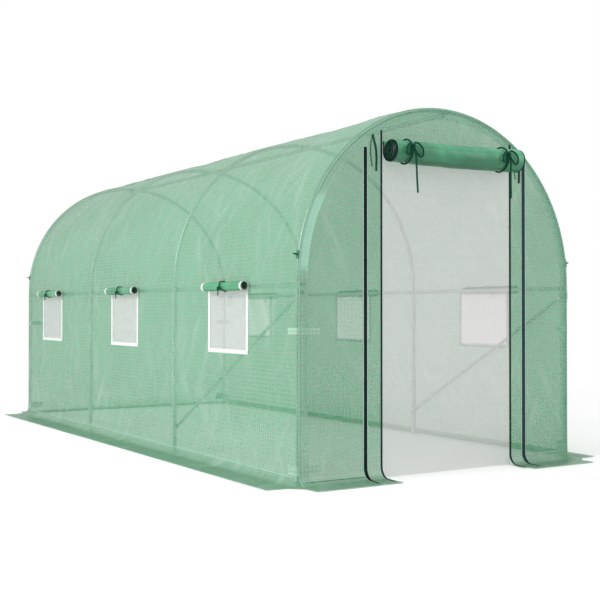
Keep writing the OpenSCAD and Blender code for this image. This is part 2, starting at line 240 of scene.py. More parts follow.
def scrim(tree):
    """1 on the cover's reinforcing threads, 0 in the cells between them; and 1 where two threads cross."""
    thread = [lines(tree, axis, SCRIM_CELL, THREAD) for axis in "XY"]
    crossing = [lines(tree, axis, SCRIM_CELL, CROSSING) for axis in "XY"]
    return larger(tree, *thread), times(tree, *crossing)


def on_legs(tree, legs):
    """1 where the long sheet lies against the straight leg of a hoop; UV is girth and length."""
    uv = place_of(tree, "UV")
    near = calc(tree, "MINIMUM", *[apart(tree, uv["Y"], y) for y in legs])
    low = remap(tree, calc(tree, "ABSOLUTE", uv["X"]), 1.5, 1.75)
    return times(tree, remap(tree, near, 0.006, 0.016, 1.0, 0.0), low)


def on_left_haunch(tree, bottom, top):
    """1 at the left between two heights, where the painted highlight goes, 0 elsewhere."""
    place = place_of(tree, "Object")
    over = remap(tree, place["Z"], bottom - FADE, bottom)
    under = remap(tree, place["Z"], top + FADE, top)
    return times(tree, times(tree, over, under), remap(tree, place["X"], -0.5, -0.62))


def cover_film(name, see_through, greens, thread_colour=THREAD_COLOUR, legs=(), pale=None, lit=()):
    """Translucent woven sheet: green cells, paler threads, crinkles, and a painted highlight along its folds.
    It can be paler at the left and brightest there between two heights, both painted light; where it lies on a
    hoop's leg it has a painted highlight too."""
    material, tree = new_material(name)
    thread, crossing = scrim(tree)
    cells = mix(tree, remap(tree, cloud(tree, 1.7), 0.35, 0.65), *greens)
    # Folds: a painted highlight in the colour, and the film less see-through there
    folds = [cloud(tree, 1.0, (2.0, 10.0, 1.0), 3.0, "UV", turn) for turn in (0.35, -0.5)]
    fold = larger(tree, *[remap(tree, f, 0.50, 0.74) for f in folds])
    fold = times(tree, fold, remap(tree, cloud(tree, 1.3, detail=1.0), 0.4, 0.6, 0.08, 0.34))
    cells = mix(tree, fold, cells, FOLD_HIGHLIGHT_COLOUR)
    solid = remap(tree, thread, 0.0, 1.0, 1.0 - see_through, 1.0 - 0.8 * see_through)
    solid = larger(tree, solid, times(tree, fold, 1.5))
    # Painted light: paler towards the left, where the key light falls
    if pale:
        cells = mix(tree, remap(tree, place_of(tree, "Object")["X"], -0.7, 0.3), pale, cells)
    # On a hoop's leg: a painted highlight in the colour, and the film less see-through there
    if legs:
        touch = on_legs(tree, legs)
        cells = mix(tree, times(tree, touch, 0.4), cells, FOLD_HIGHLIGHT_COLOUR)
        solid = larger(tree, solid, times(tree, touch, 0.88))
    colour = mix(tree, thread, cells, thread_colour)
    colour = mix(tree, crossing, colour, [c * tint for c, tint in zip(thread_colour, CROSSING_TINT)])
    # Painted highlight at the left between two heights
    if lit:
        bright = times(tree, on_left_haunch(tree, *lit), 0.8)
        colour = mix(tree, bright, colour, LIT_COLOUR)
        solid = larger(tree, solid, bright)
    crinkle = bump(tree, cloud(tree, 14.0, (1, 1, 0.6), 4.0), 0.2, 0.006)
    crinkle = bump(tree, calc(tree, "ADD", *folds), 0.5, 0.012, crinkle)
    normal = bump(tree, thread, 0.2, 0.0005, crinkle)
    face = principled(tree, colour, patches(tree, 5.0, 0.22, 0.38), normal)
    glow = add(tree, "BsdfTranslucent", {"Color": colour, "Normal": normal})
    body = blended(tree, 0.38, face, glow)
    return surfaced(material, tree, blended(tree, solid, add(tree, "BsdfTransparent"), body))


def rolled_film(name, dark, light, painted_shade=None):
    """The same sheet in many layers: opaque, satin, creased; with painted shade towards the lower of two
    heights.
    """
    material, tree = new_material(name)
    thread, _ = scrim(tree)
    colour = mix(tree, patches(tree, 6.0), dark, light)
    colour = mix(tree, times(tree, thread, 0.04), colour, (0.34, 0.44, 0.36))
    # Painted shade: darker below the lower height, with a wavy edge
    if painted_shade:
        wave = remap(tree, cloud(tree, 9.0, (0.4, 1, 1)), 0.3, 0.7, -0.02, 0.02)
        height = calc(tree, "ADD", place_of(tree, "Object")["Z"], wave)
        colour = mix(tree, remap(tree, height, *painted_shade), [0.5 * c for c in dark], colour)
    crease = bump(tree, cloud(tree, 9.0, (0.5, 1, 1.6), 5.0), 0.5, 0.012)
    normal = bump(tree, thread, 0.04, 0.0003, crease)
    return surfaced(material, tree, principled(tree, colour, patches(tree, 11.0, 0.26, 0.42), normal))


def insect_mesh(name, shade, glow):
    """Fine pale mesh: threads about 2 mm apart, open between them, with faint streaks across."""
    material, tree = new_material(name)
    thread = larger(tree, *[lines(tree, axis, 0.002, 0.155) for axis in "XY"])
    streak = remap(tree, cloud(tree, 1.0, (1.5, 1.5, 55.0), 2.0), 0.35, 0.65)
    colour = mix(tree, streak, [c * 0.97 for c in shade], shade)
    face = principled(tree, colour, 0.75, bump(tree, thread, 0.3, 0.0004))
    body = blended(tree, glow, face, add(tree, "BsdfTranslucent", {"Color": colour}))
    solid = remap(tree, thread, 0.0, 1.0, 0.12, 1.0)
    return surfaced(material, tree, blended(tree, solid, add(tree, "BsdfTransparent"), body))


def woven_tape(name, colour, stitch_colour, rough=0.7, shine=(), glow=0.0):
    """Narrow woven tape: UV runs along it in X and from 0 to 1 across it in Y, with two rows of stitches."""
    material, tree = new_material(name)
    uv = place_of(tree, "UV")
    dash = remap(tree, zigzag(tree, uv["X"], 0.006), 0.14, 0.2, 1.0, 0.0)
    row = remap(tree, apart(tree, apart(tree, uv["Y"], 0.5), 0.36), 0.02, 0.05, 1.0, 0.0)
    stitch = times(tree, dash, row)
    base = mix(tree, patches(tree, 40.0), [c * 0.9 for c in colour], colour)
    base = mix(tree, stitch, base, stitch_colour)
    ribs = bump(tree, lines(tree, "X", 0.0016, 0.28), 0.35, 0.0003)
    normal = bump(tree, stitch, 0.6, 0.0006, ribs)
    face = principled(tree, base, rough, normal, shine)
    if glow:
        face = blended(tree, glow, face, add(tree, "BsdfTranslucent", {"Color": base, "Normal": normal}))
    return surfaced(material, tree, face)


def braided_cord():
    """Braided green cord: UV runs along it in X and round it in Y."""
    material, tree = new_material("braided_cord")
    uv = place_of(tree, "UV")
    along, round_it = calc(tree, "DIVIDE", uv["X"], 0.008), times(tree, uv["Y"], 3.0)
    strands = [zigzag(tree, calc(tree, way, along, round_it), 1.0) for way in ("ADD", "SUBTRACT")]
    braid = times(tree, times(tree, *strands), 4.0)
    colour = mix(tree, remap(tree, braid, 0.05, 0.6), (0.001, 0.028, 0.016), (0.003, 0.085, 0.05))
    return surfaced(material, tree, principled(tree, colour, 0.7, bump(tree, braid, 0.6, 0.0008), DULL))


def galvanized():
    """Zinc coat with its spangle of crystals and slightly uneven gloss."""
    material, tree = new_material("galvanized_tube")
    place = add(tree, "TexCoord").outputs["Object"]
    spangle = add(tree, "TexVoronoi", {"Vector": place, "Scale": 95.0}).outputs["Color"]
    grain = add(tree, "SeparateColor", {"Color": spangle}).outputs[0]
    stain = remap(tree, cloud(tree, 4.0), 0.35, 0.7)
    colour = mix(tree, grain, (0.54, 0.56, 0.57), (0.68, 0.70, 0.71))
    colour = mix(tree, times(tree, stain, 0.3), colour, (0.42, 0.43, 0.43))
    rough = remap(tree, grain, 0.0, 1.0, 0.34, 0.52)
    face = principled(tree, colour, rough, bump(tree, grain, 0.12, 0.0005), {"Metallic": 0.7})
    return surfaced(material, tree, face)


def hard_plastic(name, colour, rough):
    """Moulded plastic with a fine grain."""
    material, tree = new_material(name)
    base = mix(tree, patches(tree, 90.0), [c * 0.8 for c in colour], colour)
    normal = bump(tree, cloud(tree, 700.0), 0.15, 0.0003)
    return surfaced(material, tree, principled(tree, base, rough, normal, DULL))


FILM_GREENS = ((0.032, 0.345, 0.147), (0.060, 0.40, 0.192))
FILM = cover_film("cover_film", 0.42, FILM_GREENS)
LONG_FILM = cover_film("long_film", 0.42, FILM_GREENS, legs=HOOPS[1:3])
# The cover film with painted shade, for the skirt on the ground
SHADED_SKIRT_FILM = cover_film("skirt_film_painted_shade", 0.24, ((0.055, 0.31, 0.15), (0.09, 0.36, 0.19)))
# Hem, edges and corner straps are paler at the left as painted light; the hem also has a painted highlight on
# the left haunch
HEM_FILM = cover_film("hem_film", 0.6, ((0.13, 0.49, 0.29), (0.16, 0.53, 0.33)), (0.32, 0.48, 0.38),
                      pale=(0.36, 0.68, 0.50), lit=(WALL_H + 0.08, WALL_H + 0.42))
EDGE_FILM = cover_film("edge_film", 0.3, ((0.12, 0.47, 0.27), (0.15, 0.51, 0.31)), (0.36, 0.56, 0.44),
                       pale=(0.42, 0.74, 0.56))
STRAP = cover_film("corner_strap", 0.3, ((0.25, 0.56, 0.38), (0.29, 0.60, 0.42)), (0.34, 0.50, 0.40),
                   pale=(0.44, 0.70, 0.54))
ROLLED = rolled_film("rolled_film", (0.018, 0.16, 0.07), (0.04, 0.25, 0.115))
# The door roll has painted shade on its underside
DOOR_ROLLED = rolled_film("rolled_door_film", (0.03, 0.23, 0.105), (0.07, 0.39, 0.195),
                          (HEAD - 0.115, HEAD + 0.02))
# Painted shade for the inner turns of a roll
ROLL_INSIDE_SHADE = rolled_film("roll_inside_painted_shade", (0.008, 0.06, 0.032), (0.015, 0.10, 0.052))
DOOR_MESH = insect_mesh("door_mesh", (0.735, 0.685, 0.705), 0.38)
WINDOW_MESH = insect_mesh("window_mesh", (0.76, 0.73, 0.745), 0.6)
BINDING = woven_tape("white_binding", (0.82, 0.83, 0.82), (0.66, 0.67, 0.66), glow=0.35)
# Dark green tape of the corner loops' tabs, also the painted shade line on the front's left fold
TAB_AND_SHADE_LINE_TAPE = woven_tape("tab_tape_and_painted_shade_line", (0.02, 0.17, 0.085), (0.06, 0.24, 0.14), 0.6)
OUTER_ZIP = woven_tape("outer_zip_tape", (0.004, 0.012, 0.012), (0.012, 0.026, 0.026), 0.8, DULL)
INNER_ZIP = woven_tape("inner_zip_tape", (0.016, 0.03, 0.034), (0.035, 0.05, 0.056), 0.8, DULL)
# The outer zip's tape with a painted sheen, for the right one
SHEEN_ZIP_TAPE = woven_tape("zip_tape_painted_sheen", (0.028, 0.064, 0.064), (0.048, 0.088, 0.088), 0.8, DULL)
# Pale border of the outer zips, also the painted highlight line on the front's right fold
ZIP_EDGE_AND_FOLD_HIGHLIGHT = woven_tape("zip_edge_and_fold_highlight", (0.50, 0.70, 0.62), (0.58, 0.76, 0.68), 0.6, glow=0.4)
# Painted highlight line on the side folds
FOLD_HIGHLIGHT_TAPE = woven_tape("fold_line_painted_highlight", (0.34, 0.60, 0.46), (0.40, 0.66, 0.52), 0.6, glow=0.35)
ZIP_TEETH = hard_plastic("zip_teeth", (0.008, 0.016, 0.018), 0.5)
CORD = braided_cord()
ZINC = galvanized()


# Meshes

def placed(name, data):
    """A new object in the scene."""
    made = bpy.data.objects.new(name, data)
    bpy.context.scene.collection.objects.link(made)
    return made


def mesh_piece(name, points, faces, uvs, materials, slot, face_materials=None):
    """A piece on the part's one body, from points, faces and a UV for each point, without unused points."""
    faces = [tuple(int(i) for i in f) for f in faces]
    used = sorted({i for f in faces for i in f})
    place = {old: new for new, old in enumerate(used)}
    mesh = bpy.data.meshes.new(name)
    mesh.from_pydata([tuple(map(float, points[i])) for i in used], [], [[place[i] for i in f] for f in faces])
    layer = mesh.uv_layers.new(name="UVMap")
    corner = np.zeros(len(mesh.loops), np.int32)
    mesh.loops.foreach_get("vertex_index", corner)
    layer.data.foreach_set("uv", np.asarray(uvs, np.float32)[used][corner].ravel())
    if face_materials is not None:
        mesh.polygons.foreach_set("material_index", np.asarray(face_materials, np.int32))
    mesh.shade_smooth()
    for material in materials:
        mesh.materials.append(material)
    piece = placed(name, mesh)
    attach(piece, "root")
    return piece


def grid_faces(rows, columns, keep=None):
    """Quads of a grid of points, without the cells that keep leaves out."""
    index = np.arange(rows * columns).reshape(rows, columns)
    quads = np.stack([index[:-1, :-1], index[:-1, 1:], index[1:, 1:], index[1:, :-1]], -1)
    return quads[keep] if keep is not None else quads.reshape(-1, 4)


def grid_piece(name, points, uvs, materials, slot, keep=None, face_materials=None):
    """A sheet from a grid of points, rows by columns by three."""
    faces = grid_faces(*points.shape[:2], keep)
    if face_materials is not None:
        face_materials = np.ravel(face_materials if keep is None else face_materials[keep])
    return mesh_piece(name, points.reshape(-1, 3), faces, uvs.reshape(-1, 2), materials, slot, face_materials)


class Heap:
    """Collects small meshes with UVs, to become one piece."""

    def __init__(self):
        self.points, self.faces, self.uvs, self.kinds = [], [], [], []

    def add(self, points, faces, uvs=None, kind=0):
        start = len(self.points)
        self.points += list(points)
        self.uvs += [tuple(p[:2]) for p in (points if uvs is None else uvs)]
        self.faces += [[i + start for i in f] for f in faces]
        self.kinds += [kind] * len(faces)

    def piece(self, name, materials, slot):
        return mesh_piece(name, self.points, self.faces, self.uvs, materials, slot, self.kinds)


def spaced(stops, step):
    """Values that pass through every stop, about a step apart."""
    runs = [np.linspace(a, b, max(1, round(abs(b - a) / step)), endpoint=False)
            for a, b in zip(stops, stops[1:])]
    return np.concatenate(runs + [np.array(stops[-1:])])


def between(values):
    """Middles between neighbours."""
    return (values[:-1] + values[1:]) / 2


def eased(value, low, high):
    """0 below low, 1 above high, smooth between."""
    t = np.clip((np.asarray(value, float) - low) / (high - low), 0, 1)
    return t * t * (3 - 2 * t)


def ripple(a, b, seed):
    """Smooth noise from about -1 to 1 at each pair of coordinates."""
    a, b = np.broadcast_arrays(a, b)
    flat = [noise.noise((u, v, seed)) for u, v in zip(a.ravel(), b.ravel())]
    return np.array(flat).reshape(a.shape)


def creases(a, b, lean, narrow, long, seed):
    """Long narrow folds that lean by an angle from the second axis."""
    c, s = math.cos(math.radians(lean)), math.sin(math.radians(lean))
    return ripple((a * c - b * s) / narrow, (a * s + b * c) / long, seed)


def folded(a, b, folds, shift=0.0):
    """Height of several folds together; each one's seed is shifted."""
    return sum(height * creases(a, b, *fold, seed + shift) for height, *fold, seed in folds)


def smooth_line(points, steps):
    """A smooth curve through the points."""
    p = np.asarray(points, float)
    p = np.concatenate([p[:1], p, p[-1:]])
    t = np.linspace(0, 1, steps, endpoint=False)[:, None]
    made = [0.5 * (2 * b + (c - a) * t + (2 * a - 5 * b + 4 * c - d) * t ** 2
                   + (3 * b - a - 3 * c + d) * t ** 3)
            for a, b, c, d in zip(p, p[1:], p[2:], p[3:])]
    return np.concatenate(made + [p[-1:]])


def run_along(line):
    """Length run at each point of a line."""
    return np.concatenate([[0], np.cumsum(np.linalg.norm(np.diff(line, axis=0), axis=1))])


# Rings of a rope's domed end: size and distance out, in radii
DOME = ((0.75, 0.45), (0.05, 0.75))


def tube(line, radius, sides=10, closed=False):
    """A round rope along a line: points, faces and UVs, with domed ends."""
    line = np.asarray(line, float)
    ahead = np.roll(line, -1, 0) - np.roll(line, 1, 0)
    if not closed:
        ahead[0], ahead[-1] = line[1] - line[0], line[-1] - line[-2]
    ahead /= np.linalg.norm(ahead, axis=1)[:, None]
    side = np.cross(ahead[0], (0.31, 0.42, 0.85))
    beside = []
    for t in ahead:
        side = side - t * side.dot(t)
        side = side / np.linalg.norm(side)
        beside.append(side)
    run = run_along(line)
    stations = [(i, 0, 1, r) for i, r in enumerate(run)]
    if closed:
        stations.append((0, 0, 1, run[-1] + radius))
    else:
        stations[:0] = [(0, -out, size, -out * radius) for size, out in DOME[::-1]]
        stations += [(-1, out, size, run[-1] + out * radius) for size, out in DOME]
    index, out, size, run = (np.array(values) for values in zip(*stations))
    ahead, beside = ahead[index], np.array(beside)[index]
    turn = np.linspace(0, 2 * math.pi, sides + 1)[:, None]
    arm = np.cos(turn) * beside[:, None] + np.sin(turn) * np.cross(ahead, beside)[:, None]
    centre = line[index] + ahead * radius * out[:, None]
    points = centre[:, None] + (radius * size)[:, None, None] * arm
    uvs = np.stack(np.broadcast_arrays(run[:, None], np.arange(sides + 1) / sides), -1)
    return points.reshape(-1, 3), grid_faces(len(stations), sides + 1), uvs.reshape(-1, 2)


TAPE_SHAPE = ((-0.5, 0.0), (-0.44, 0.8), (-0.2, 1.0), (0.2, 1.0), (0.44, 0.8), (0.5, 0.0))


def tape(line, across, up, width, height):
    """A flat tape along a line, a little raised over its base: points, faces and UVs."""
    line, across, up = np.broadcast_arrays(*(np.asarray(v, float) for v in (line, across, up)))
    run = run_along(line)
    points = np.stack([line + across * width * a + up * height * h for a, h in TAPE_SHAPE], 1)
    uvs = np.stack([np.stack([run, np.full_like(run, a + 0.5)], 1) for a, _ in TAPE_SHAPE], 1)
    return points.reshape(-1, 3), grid_faces(len(line), len(TAPE_SHAPE)), uvs.reshape(-1, 2)


# Camera, light and floor

CAMERA_PLACE = (-3.8956, -7.0065, 0.9216)
CAMERA_YAW, CAMERA_PITCH = math.radians(31.838), math.radians(0.631)
LENS, SENSOR, SIGHT = 62.7, 36.0, 200
# Lights: name, place, size, power
LIGHTS = (("key_light", (-7.0, -1.6, 4.2), 3.0, 480.0), ("fill_light", (5.5, -6.0, 4.0), 4.0, 80.0))
LIGHT_AIM = Vector((0, -0.5, 0.9))
FLOOR_REACH, FLOOR_Z = 9.0, -0.002


def set_stage():
    """White studio: a pale floor, an even sky, a large soft light from the upper left and a weaker one."""
    scene = bpy.context.scene
    scene.view_settings.view_transform = "Standard"
    lens = bpy.data.cameras.new("camera")
    lens.lens, lens.sensor_width, lens.clip_end = LENS, SENSOR, SIGHT
    camera = placed("camera", lens)
    camera.location = CAMERA_PLACE
    camera.rotation_euler = (math.pi / 2 + CAMERA_PITCH, 0, -CAMERA_YAW)
    scene.camera = camera

    world = bpy.data.worlds.new("studio")
    scene.world = world
    world.use_nodes = True
    sky = world.node_tree.nodes["Background"].inputs
    sky["Color"].default_value = (1, 1, 1, 1)
    sky["Strength"].default_value = 1.0

    for name, place, size, power in LIGHTS:
        lamp = bpy.data.lights.new(name, "AREA")
        lamp.size, lamp.energy = size, power
        light = placed(name, lamp)
        light.location = place
        light.rotation_euler = (LIGHT_AIM - Vector(place)).to_track_quat("-Z", "Y").to_euler()

    material, tree = new_material("studio_floor")
    face = add(tree, "BsdfDiffuse", {"Color": mix(tree, patches(tree, 0.4), [0.90] * 3, [0.93] * 3)})
    spot = add(tree, "TexCoord").outputs["Object"]
    far = add(tree, "VectorMath", {0: spot}, operation="LENGTH").outputs["Value"]
    fade = blended(tree, remap(tree, far, 3.0, 7.0), face, add(tree, "BsdfTransparent"))
    mesh = bpy.data.meshes.new("floor")
    corners = ((-1, -1), (1, -1), (1, 1), (-1, 1))
    mesh.from_pydata([(FLOOR_REACH * a, FLOOR_REACH * b, FLOOR_Z) for a, b in corners], [], [(0, 1, 2, 3)])
    mesh.materials.append(surfaced(material, tree, fade))
    placed("floor", mesh)


set_stage()


# Cover sheets

FILM_STEP = 0.022
HOOP_SAG, BILLOW, FLAP_LIFT = 0.008, 0.0045, 0.006
# Folds: height, lean in degrees, spacing, length, seed
COVER_FOLDS = ((0.0048, 24, 0.08, 0.5, 3.1), (0.0045, -30, 0.09, 0.6, 5.7), (0.0026, 6, 0.06, 0.35, 7.9))
COVER_RIDGES = ((0.0070, 22, 0.16, 0.8, 13.3), (0.0064, -28, 0.18, 0.9, 15.9), (0.0052, 64, 0.2, 0.7, 17.1))
GABLE_FOLDS = ((0.004, 0, 0.45, 0.5, 21.3), (0.0022, 12, 0.07, 0.6, 23.9), (0.0018, -28, 0.09, 0.5, 27.1))
SCREEN_FOLDS = ((0.004, 0, 0.5, 0.35, 41.7), (0.002, 80, 0.06, 0.5, 43.3))
# Outline of the skirt round a corner, as distances out at the side and at the end
CORNER_TABS = ((SKIRT, 0.028), (0.083, 0.036), (0.013, 0.100), (0.010, SKIRT))
CORNER_TURNS = (90, 87, 84.3, 81, 76.3, 64, 52, 40, 27.6, 20, 15, 11, 5.5)
# Rows of the bend that carry a fold or its painted line (shade at the front's left, highlight elsewhere), and
# how far the fold stands up
FOLD_ROW, SIDE_FOLD_ROW, RIGHT_FOLD_ROW, FOLD_RISE = 5, 2, 1, 0.0025
# Where the skirt's painted shade starts, as a share of the bend: the same film, darker and less see-through
SIDE_GROUND, END_GROUND = 0.02, 0.33
# Rows of an end panel beside the doorway and over it
DOOR_ROWS, ARCH_ROWS = 78, 8
SLIT_W = 0.004
# Length that the bend at the wall's foot saves
BEND_CUT = 0.04
BRACE_END = (node_middle("right_brace", 0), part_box("right_brace")[1].z - 0.016)
BRACE_BULGE = 0.009


def bend(radius, count):
    """Round the bend at the wall's foot: distance out, height, and the direction away from the sheet."""
    return [(COVE_R + radius * math.cos(a), COVE_TOP + radius * math.sin(a), -math.cos(a), -math.sin(a))
            for a in np.radians(np.linspace(180, 270, count))]


def skirt_path(top, reach, lift, step):
    """Down a wall from a height, round the bend and out over the ground, at a lift over the outer face.
    Gives the same values as bend."""
    wall = [(lift, z, 1.0, 0.0) for z in spaced((top, COVE_TOP), step)[:-1]]
    ground = [(out, COVER_T + lift, 0.0, 1.0) for out in spaced((COVE_R, reach), step)[1:]]
    return np.array(wall + bend(COVE_R - lift, 9) + ground)


def corner_reach(turns):
    """How far the skirt reaches in each direction round a corner: two square-cut flaps and a narrow web."""
    hub = EDGE_R + HALF_T
    spots = np.array([(SKIRT, -hub), *CORNER_TABS, (-hub, SKIRT)]) + hub
    starts, runs = spots[:-1], np.diff(spots, axis=0)
    made = []
    for turn in turns:
        ray = np.array((math.cos(turn), math.sin(turn)))
        bent = ray[0] * runs[:, 1] - ray[1] * runs[:, 0]
        bent[np.abs(bent) < 1e-9] = 1e-9
        share = (starts[:, 0] * ray[1] - starts[:, 1] * ray[0]) / bent
        far = (starts[:, 0] * runs[:, 1] - starts[:, 1] * runs[:, 0]) / bent
        made.append(far[(share > -1e-4) & (share < 1.0001)].min() - hub)
    return np.array(made)


def skirt_rows(reach):
    """Rows of the sheet from the top of its bend down and out, for columns whose skirt reaches so far.
    Gives the values that bend gives, and the length run from the top of the bend."""
    flat, one = np.zeros_like(reach), np.ones_like(reach)
    rows = [tuple(value * one for value in spot) for spot in bend(COVE_R + HALF_T, 10)]
    out, z, *away = rows[FOLD_ROW]
    rows[FOLD_ROW] = (out + FOLD_RISE * away[0], z + FOLD_RISE * away[1], *away)
    rows += [(COVE_R + f * (reach - COVE_R), flat + HALF_T, flat, one) for f in np.linspace(0, 1, 8)[1:]]
    out, z, away_out, away_z = np.array(rows).transpose(1, 0, 2)
    run = np.concatenate([flat[None], np.cumsum(np.hypot(np.diff(out, axis=0), np.diff(z, axis=0)), 0)])
    return out, z, away_out, away_z, run


def flap_wave(x, y, out):
    """How far the loose skirt lifts off the ground."""
    return FLAP_LIFT * (0.5 + 0.5 * ripple(x / 0.33, y / 0.33, 11.7)) * eased(out, COVE_R, SKIRT)


def on_ground(out, share):
    """1 for each cell of a grid that lies further out than a share of the bend at the wall's foot, else 0: the
    cells with the skirt's painted shade.
    """
    return (np.minimum(out[:-1, :-1], out[1:, :-1]) > COVE_R * share).astype(int)


def window_clear(y, z, margin):
    """0 on a window and its roll, 1 further away than the margin."""
    far = np.full(y.shape, 1e9)
    for front, rear in WINDOWS:
        dy = np.maximum(np.maximum(front - 0.06 - y, y - rear - 0.06), 0)
        dz = np.maximum(np.maximum(SILL - z, z - WIN_HEAD - 0.06), 0)
        far = np.minimum(far, np.hypot(dy, dz))
    return eased(far, 0.0, margin)


def make_main_cover():
    """One sheet from the left skirt's edge over the hoops to the right one, with six window openings.
    At both ends it turns round the hoop, and its skirt fans out round the corner."""
    inset = BORDER_W / 2
    edge = np.radians(CORNER_TURNS)
    ends = EDGE_R * (1 - np.sin(edge))
    stops = sorted([FRONT + HALF_T + EDGE_R, REAR - HALF_T - EDGE_R] + HOOPS[1:3]
                   + [v for a, b in WINDOWS for v in (a + inset, b - inset)])
    length = np.concatenate([FRONT + HALF_T + ends, spaced(stops, FILM_STEP), (REAR - HALF_T - ends)[::-1]])
    turned = np.concatenate([-edge, np.zeros(len(length) - 2 * len(edge)), edge[::-1]])

    angles = np.radians(spaced((90, 0), math.degrees(FILM_STEP)))
    levels = spaced((WALL_H, WIN_HEAD - inset, SILL + inset, COVE_TOP), FILM_STEP)[1:-1]
    upper = [(ROOF_R * math.cos(a), WALL_H + ROOF_R * math.sin(a), math.cos(a), math.sin(a)) for a in angles]
    upper += [(ROOF_R, z, 1.0, 0.0) for z in levels]
    spread = np.ones(len(length))
    upper = np.array(upper).T[:, :, None] * spread
    upper[:2] -= upper[2:] * EDGE_R * (1 - np.cos(turned))
    upper = np.concatenate([upper, np.zeros((1, *upper.shape[1:]))])
    arc = ROOF_R * math.pi / 2
    run = np.concatenate([ROOF_R * (math.pi / 2 - angles), arc + WALL_H - levels])
    out, z, away_out, away_z, below = skirt_rows(corner_reach(np.abs(turned)))
    fan = HALF_W + out - (EDGE_R + HALF_T + out) * (1 - np.cos(turned))
    lower = np.stack([fan, z, away_out, away_z, (HALF_T + out) * np.sin(turned)])
    right = np.concatenate([upper, lower], 1)
    run = np.concatenate([run[:, None] * spread, below + arc + WALL_H - COVE_TOP])
    left = (right * np.array([-1, 1, -1, 1, 1])[:, None, None])[:, :0:-1]
    x, z, away_x, away_z, aside = np.concatenate([left, right], 1)
    out = np.concatenate([np.zeros_like(upper[0]), out])
    out = np.concatenate([out[:0:-1], out])
    s = np.concatenate([-run[:0:-1], run])
    y = np.broadcast_to(length, s.shape)

    slack = np.sin(np.pi * (np.interp(y, HOOPS, range(len(HOOPS))) % 1.0)) ** 2
    high, low = eased(z, WALL_H - 0.2, WALL_H + 0.5), eased(z, COVE_TOP, COVE_TOP + 0.25)
    sag = -HOOP_SAG * slack * (0.35 * low + 0.65 * high)
    billow = BILLOW * ripple(s / 0.5, y / 0.6, 1.3) * slack
    folds = sum(height * creases(y, s, *fold) * eased(ripple(s / 0.7, y / 0.9, fold[-1] + 9), -0.2, 0.4)
                for height, *fold in COVER_FOLDS)
    ridges = sum(height * np.clip(1 - 5 * np.abs(creases(y, s, *fold)), 0, 1) ** 1.5
                 * eased(ripple(s / 0.45, y / 0.6, fold[-1] + 5), 0.0, 0.45)
                 for height, *fold in COVER_RIDGES)
    on_hoop = np.min([np.abs(y - h) for h in HOOPS], 0)
    calm = eased(on_hoop, 0.02, 0.15) * low * window_clear(y, z, 0.08)
    push = sag * window_clear(y, z, 0.14) + (billow + folds + ridges) * calm
    push = np.where(on_hoop < 0.012, np.maximum(push, 0), push)
    y = y + aside
    points = np.stack([x + away_x * push, y, z + away_z * push + flap_wave(x, y, out)], -1)

    middle_y, middle_z = between(length), between(z[:, 0])
    in_wall = (middle_z > SILL + inset) & (middle_z < WIN_HEAD - inset)
    in_bay = np.any([(middle_y > a + inset) & (middle_y < b - inset) for a, b in WINDOWS], 0)
    keep = ~(in_wall[:, None] & in_bay)
    # The skirt's faces on the ground take the film with painted shade
    piece = grid_piece("cover_sheet", points, np.stack([s, y], -1), [LONG_FILM, SHADED_SKIRT_FILM], "cover_sheet",
                       keep, on_ground(out, SIDE_GROUND))
    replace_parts(piece, "left_skirt", "right_skirt", "left_wall_cover", "right_wall_cover",
                "roof_left_cover", "roof_crown_cover", "roof_right_cover")


def gable_points(columns):
    """Grid over an end panel: columns run from the skirt up to the arch, rows meet at the door's head."""
    left, right = INNER_X
    top_x, top_z = GABLE_R * np.cos(columns), WALL_H + GABLE_R * np.sin(columns)
    share = [(HEAD - COVE_TOP) / (WALL_H + math.sqrt(GABLE_R ** 2 - d ** 2) - COVE_TOP) for d in INNER_X]
    side = COVE_TOP + np.where(top_x <= left, *share) * (top_z - COVE_TOP)
    meet = np.where((top_x > left) & (top_x < right), HEAD, side)
    low = np.linspace(0, 1, DOOR_ROWS + 1)[:, None]
    up = np.linspace(0, 1, ARCH_ROWS + 1)[1:, None]
    z = np.concatenate([COVE_TOP + low * (meet - COVE_TOP), meet + up * (top_z - meet)])
    return np.broadcast_to(top_x, z.shape), z


def brace_push(x, z, outward):
    """How far the upper end of each brace presses the front sheet outwards."""
    off = np.hypot((np.abs(x) - BRACE_END[0]) / 0.03, (z - BRACE_END[1]) / 0.035)
    return BRACE_BULGE * np.exp(-off ** 2) * (outward < 0)


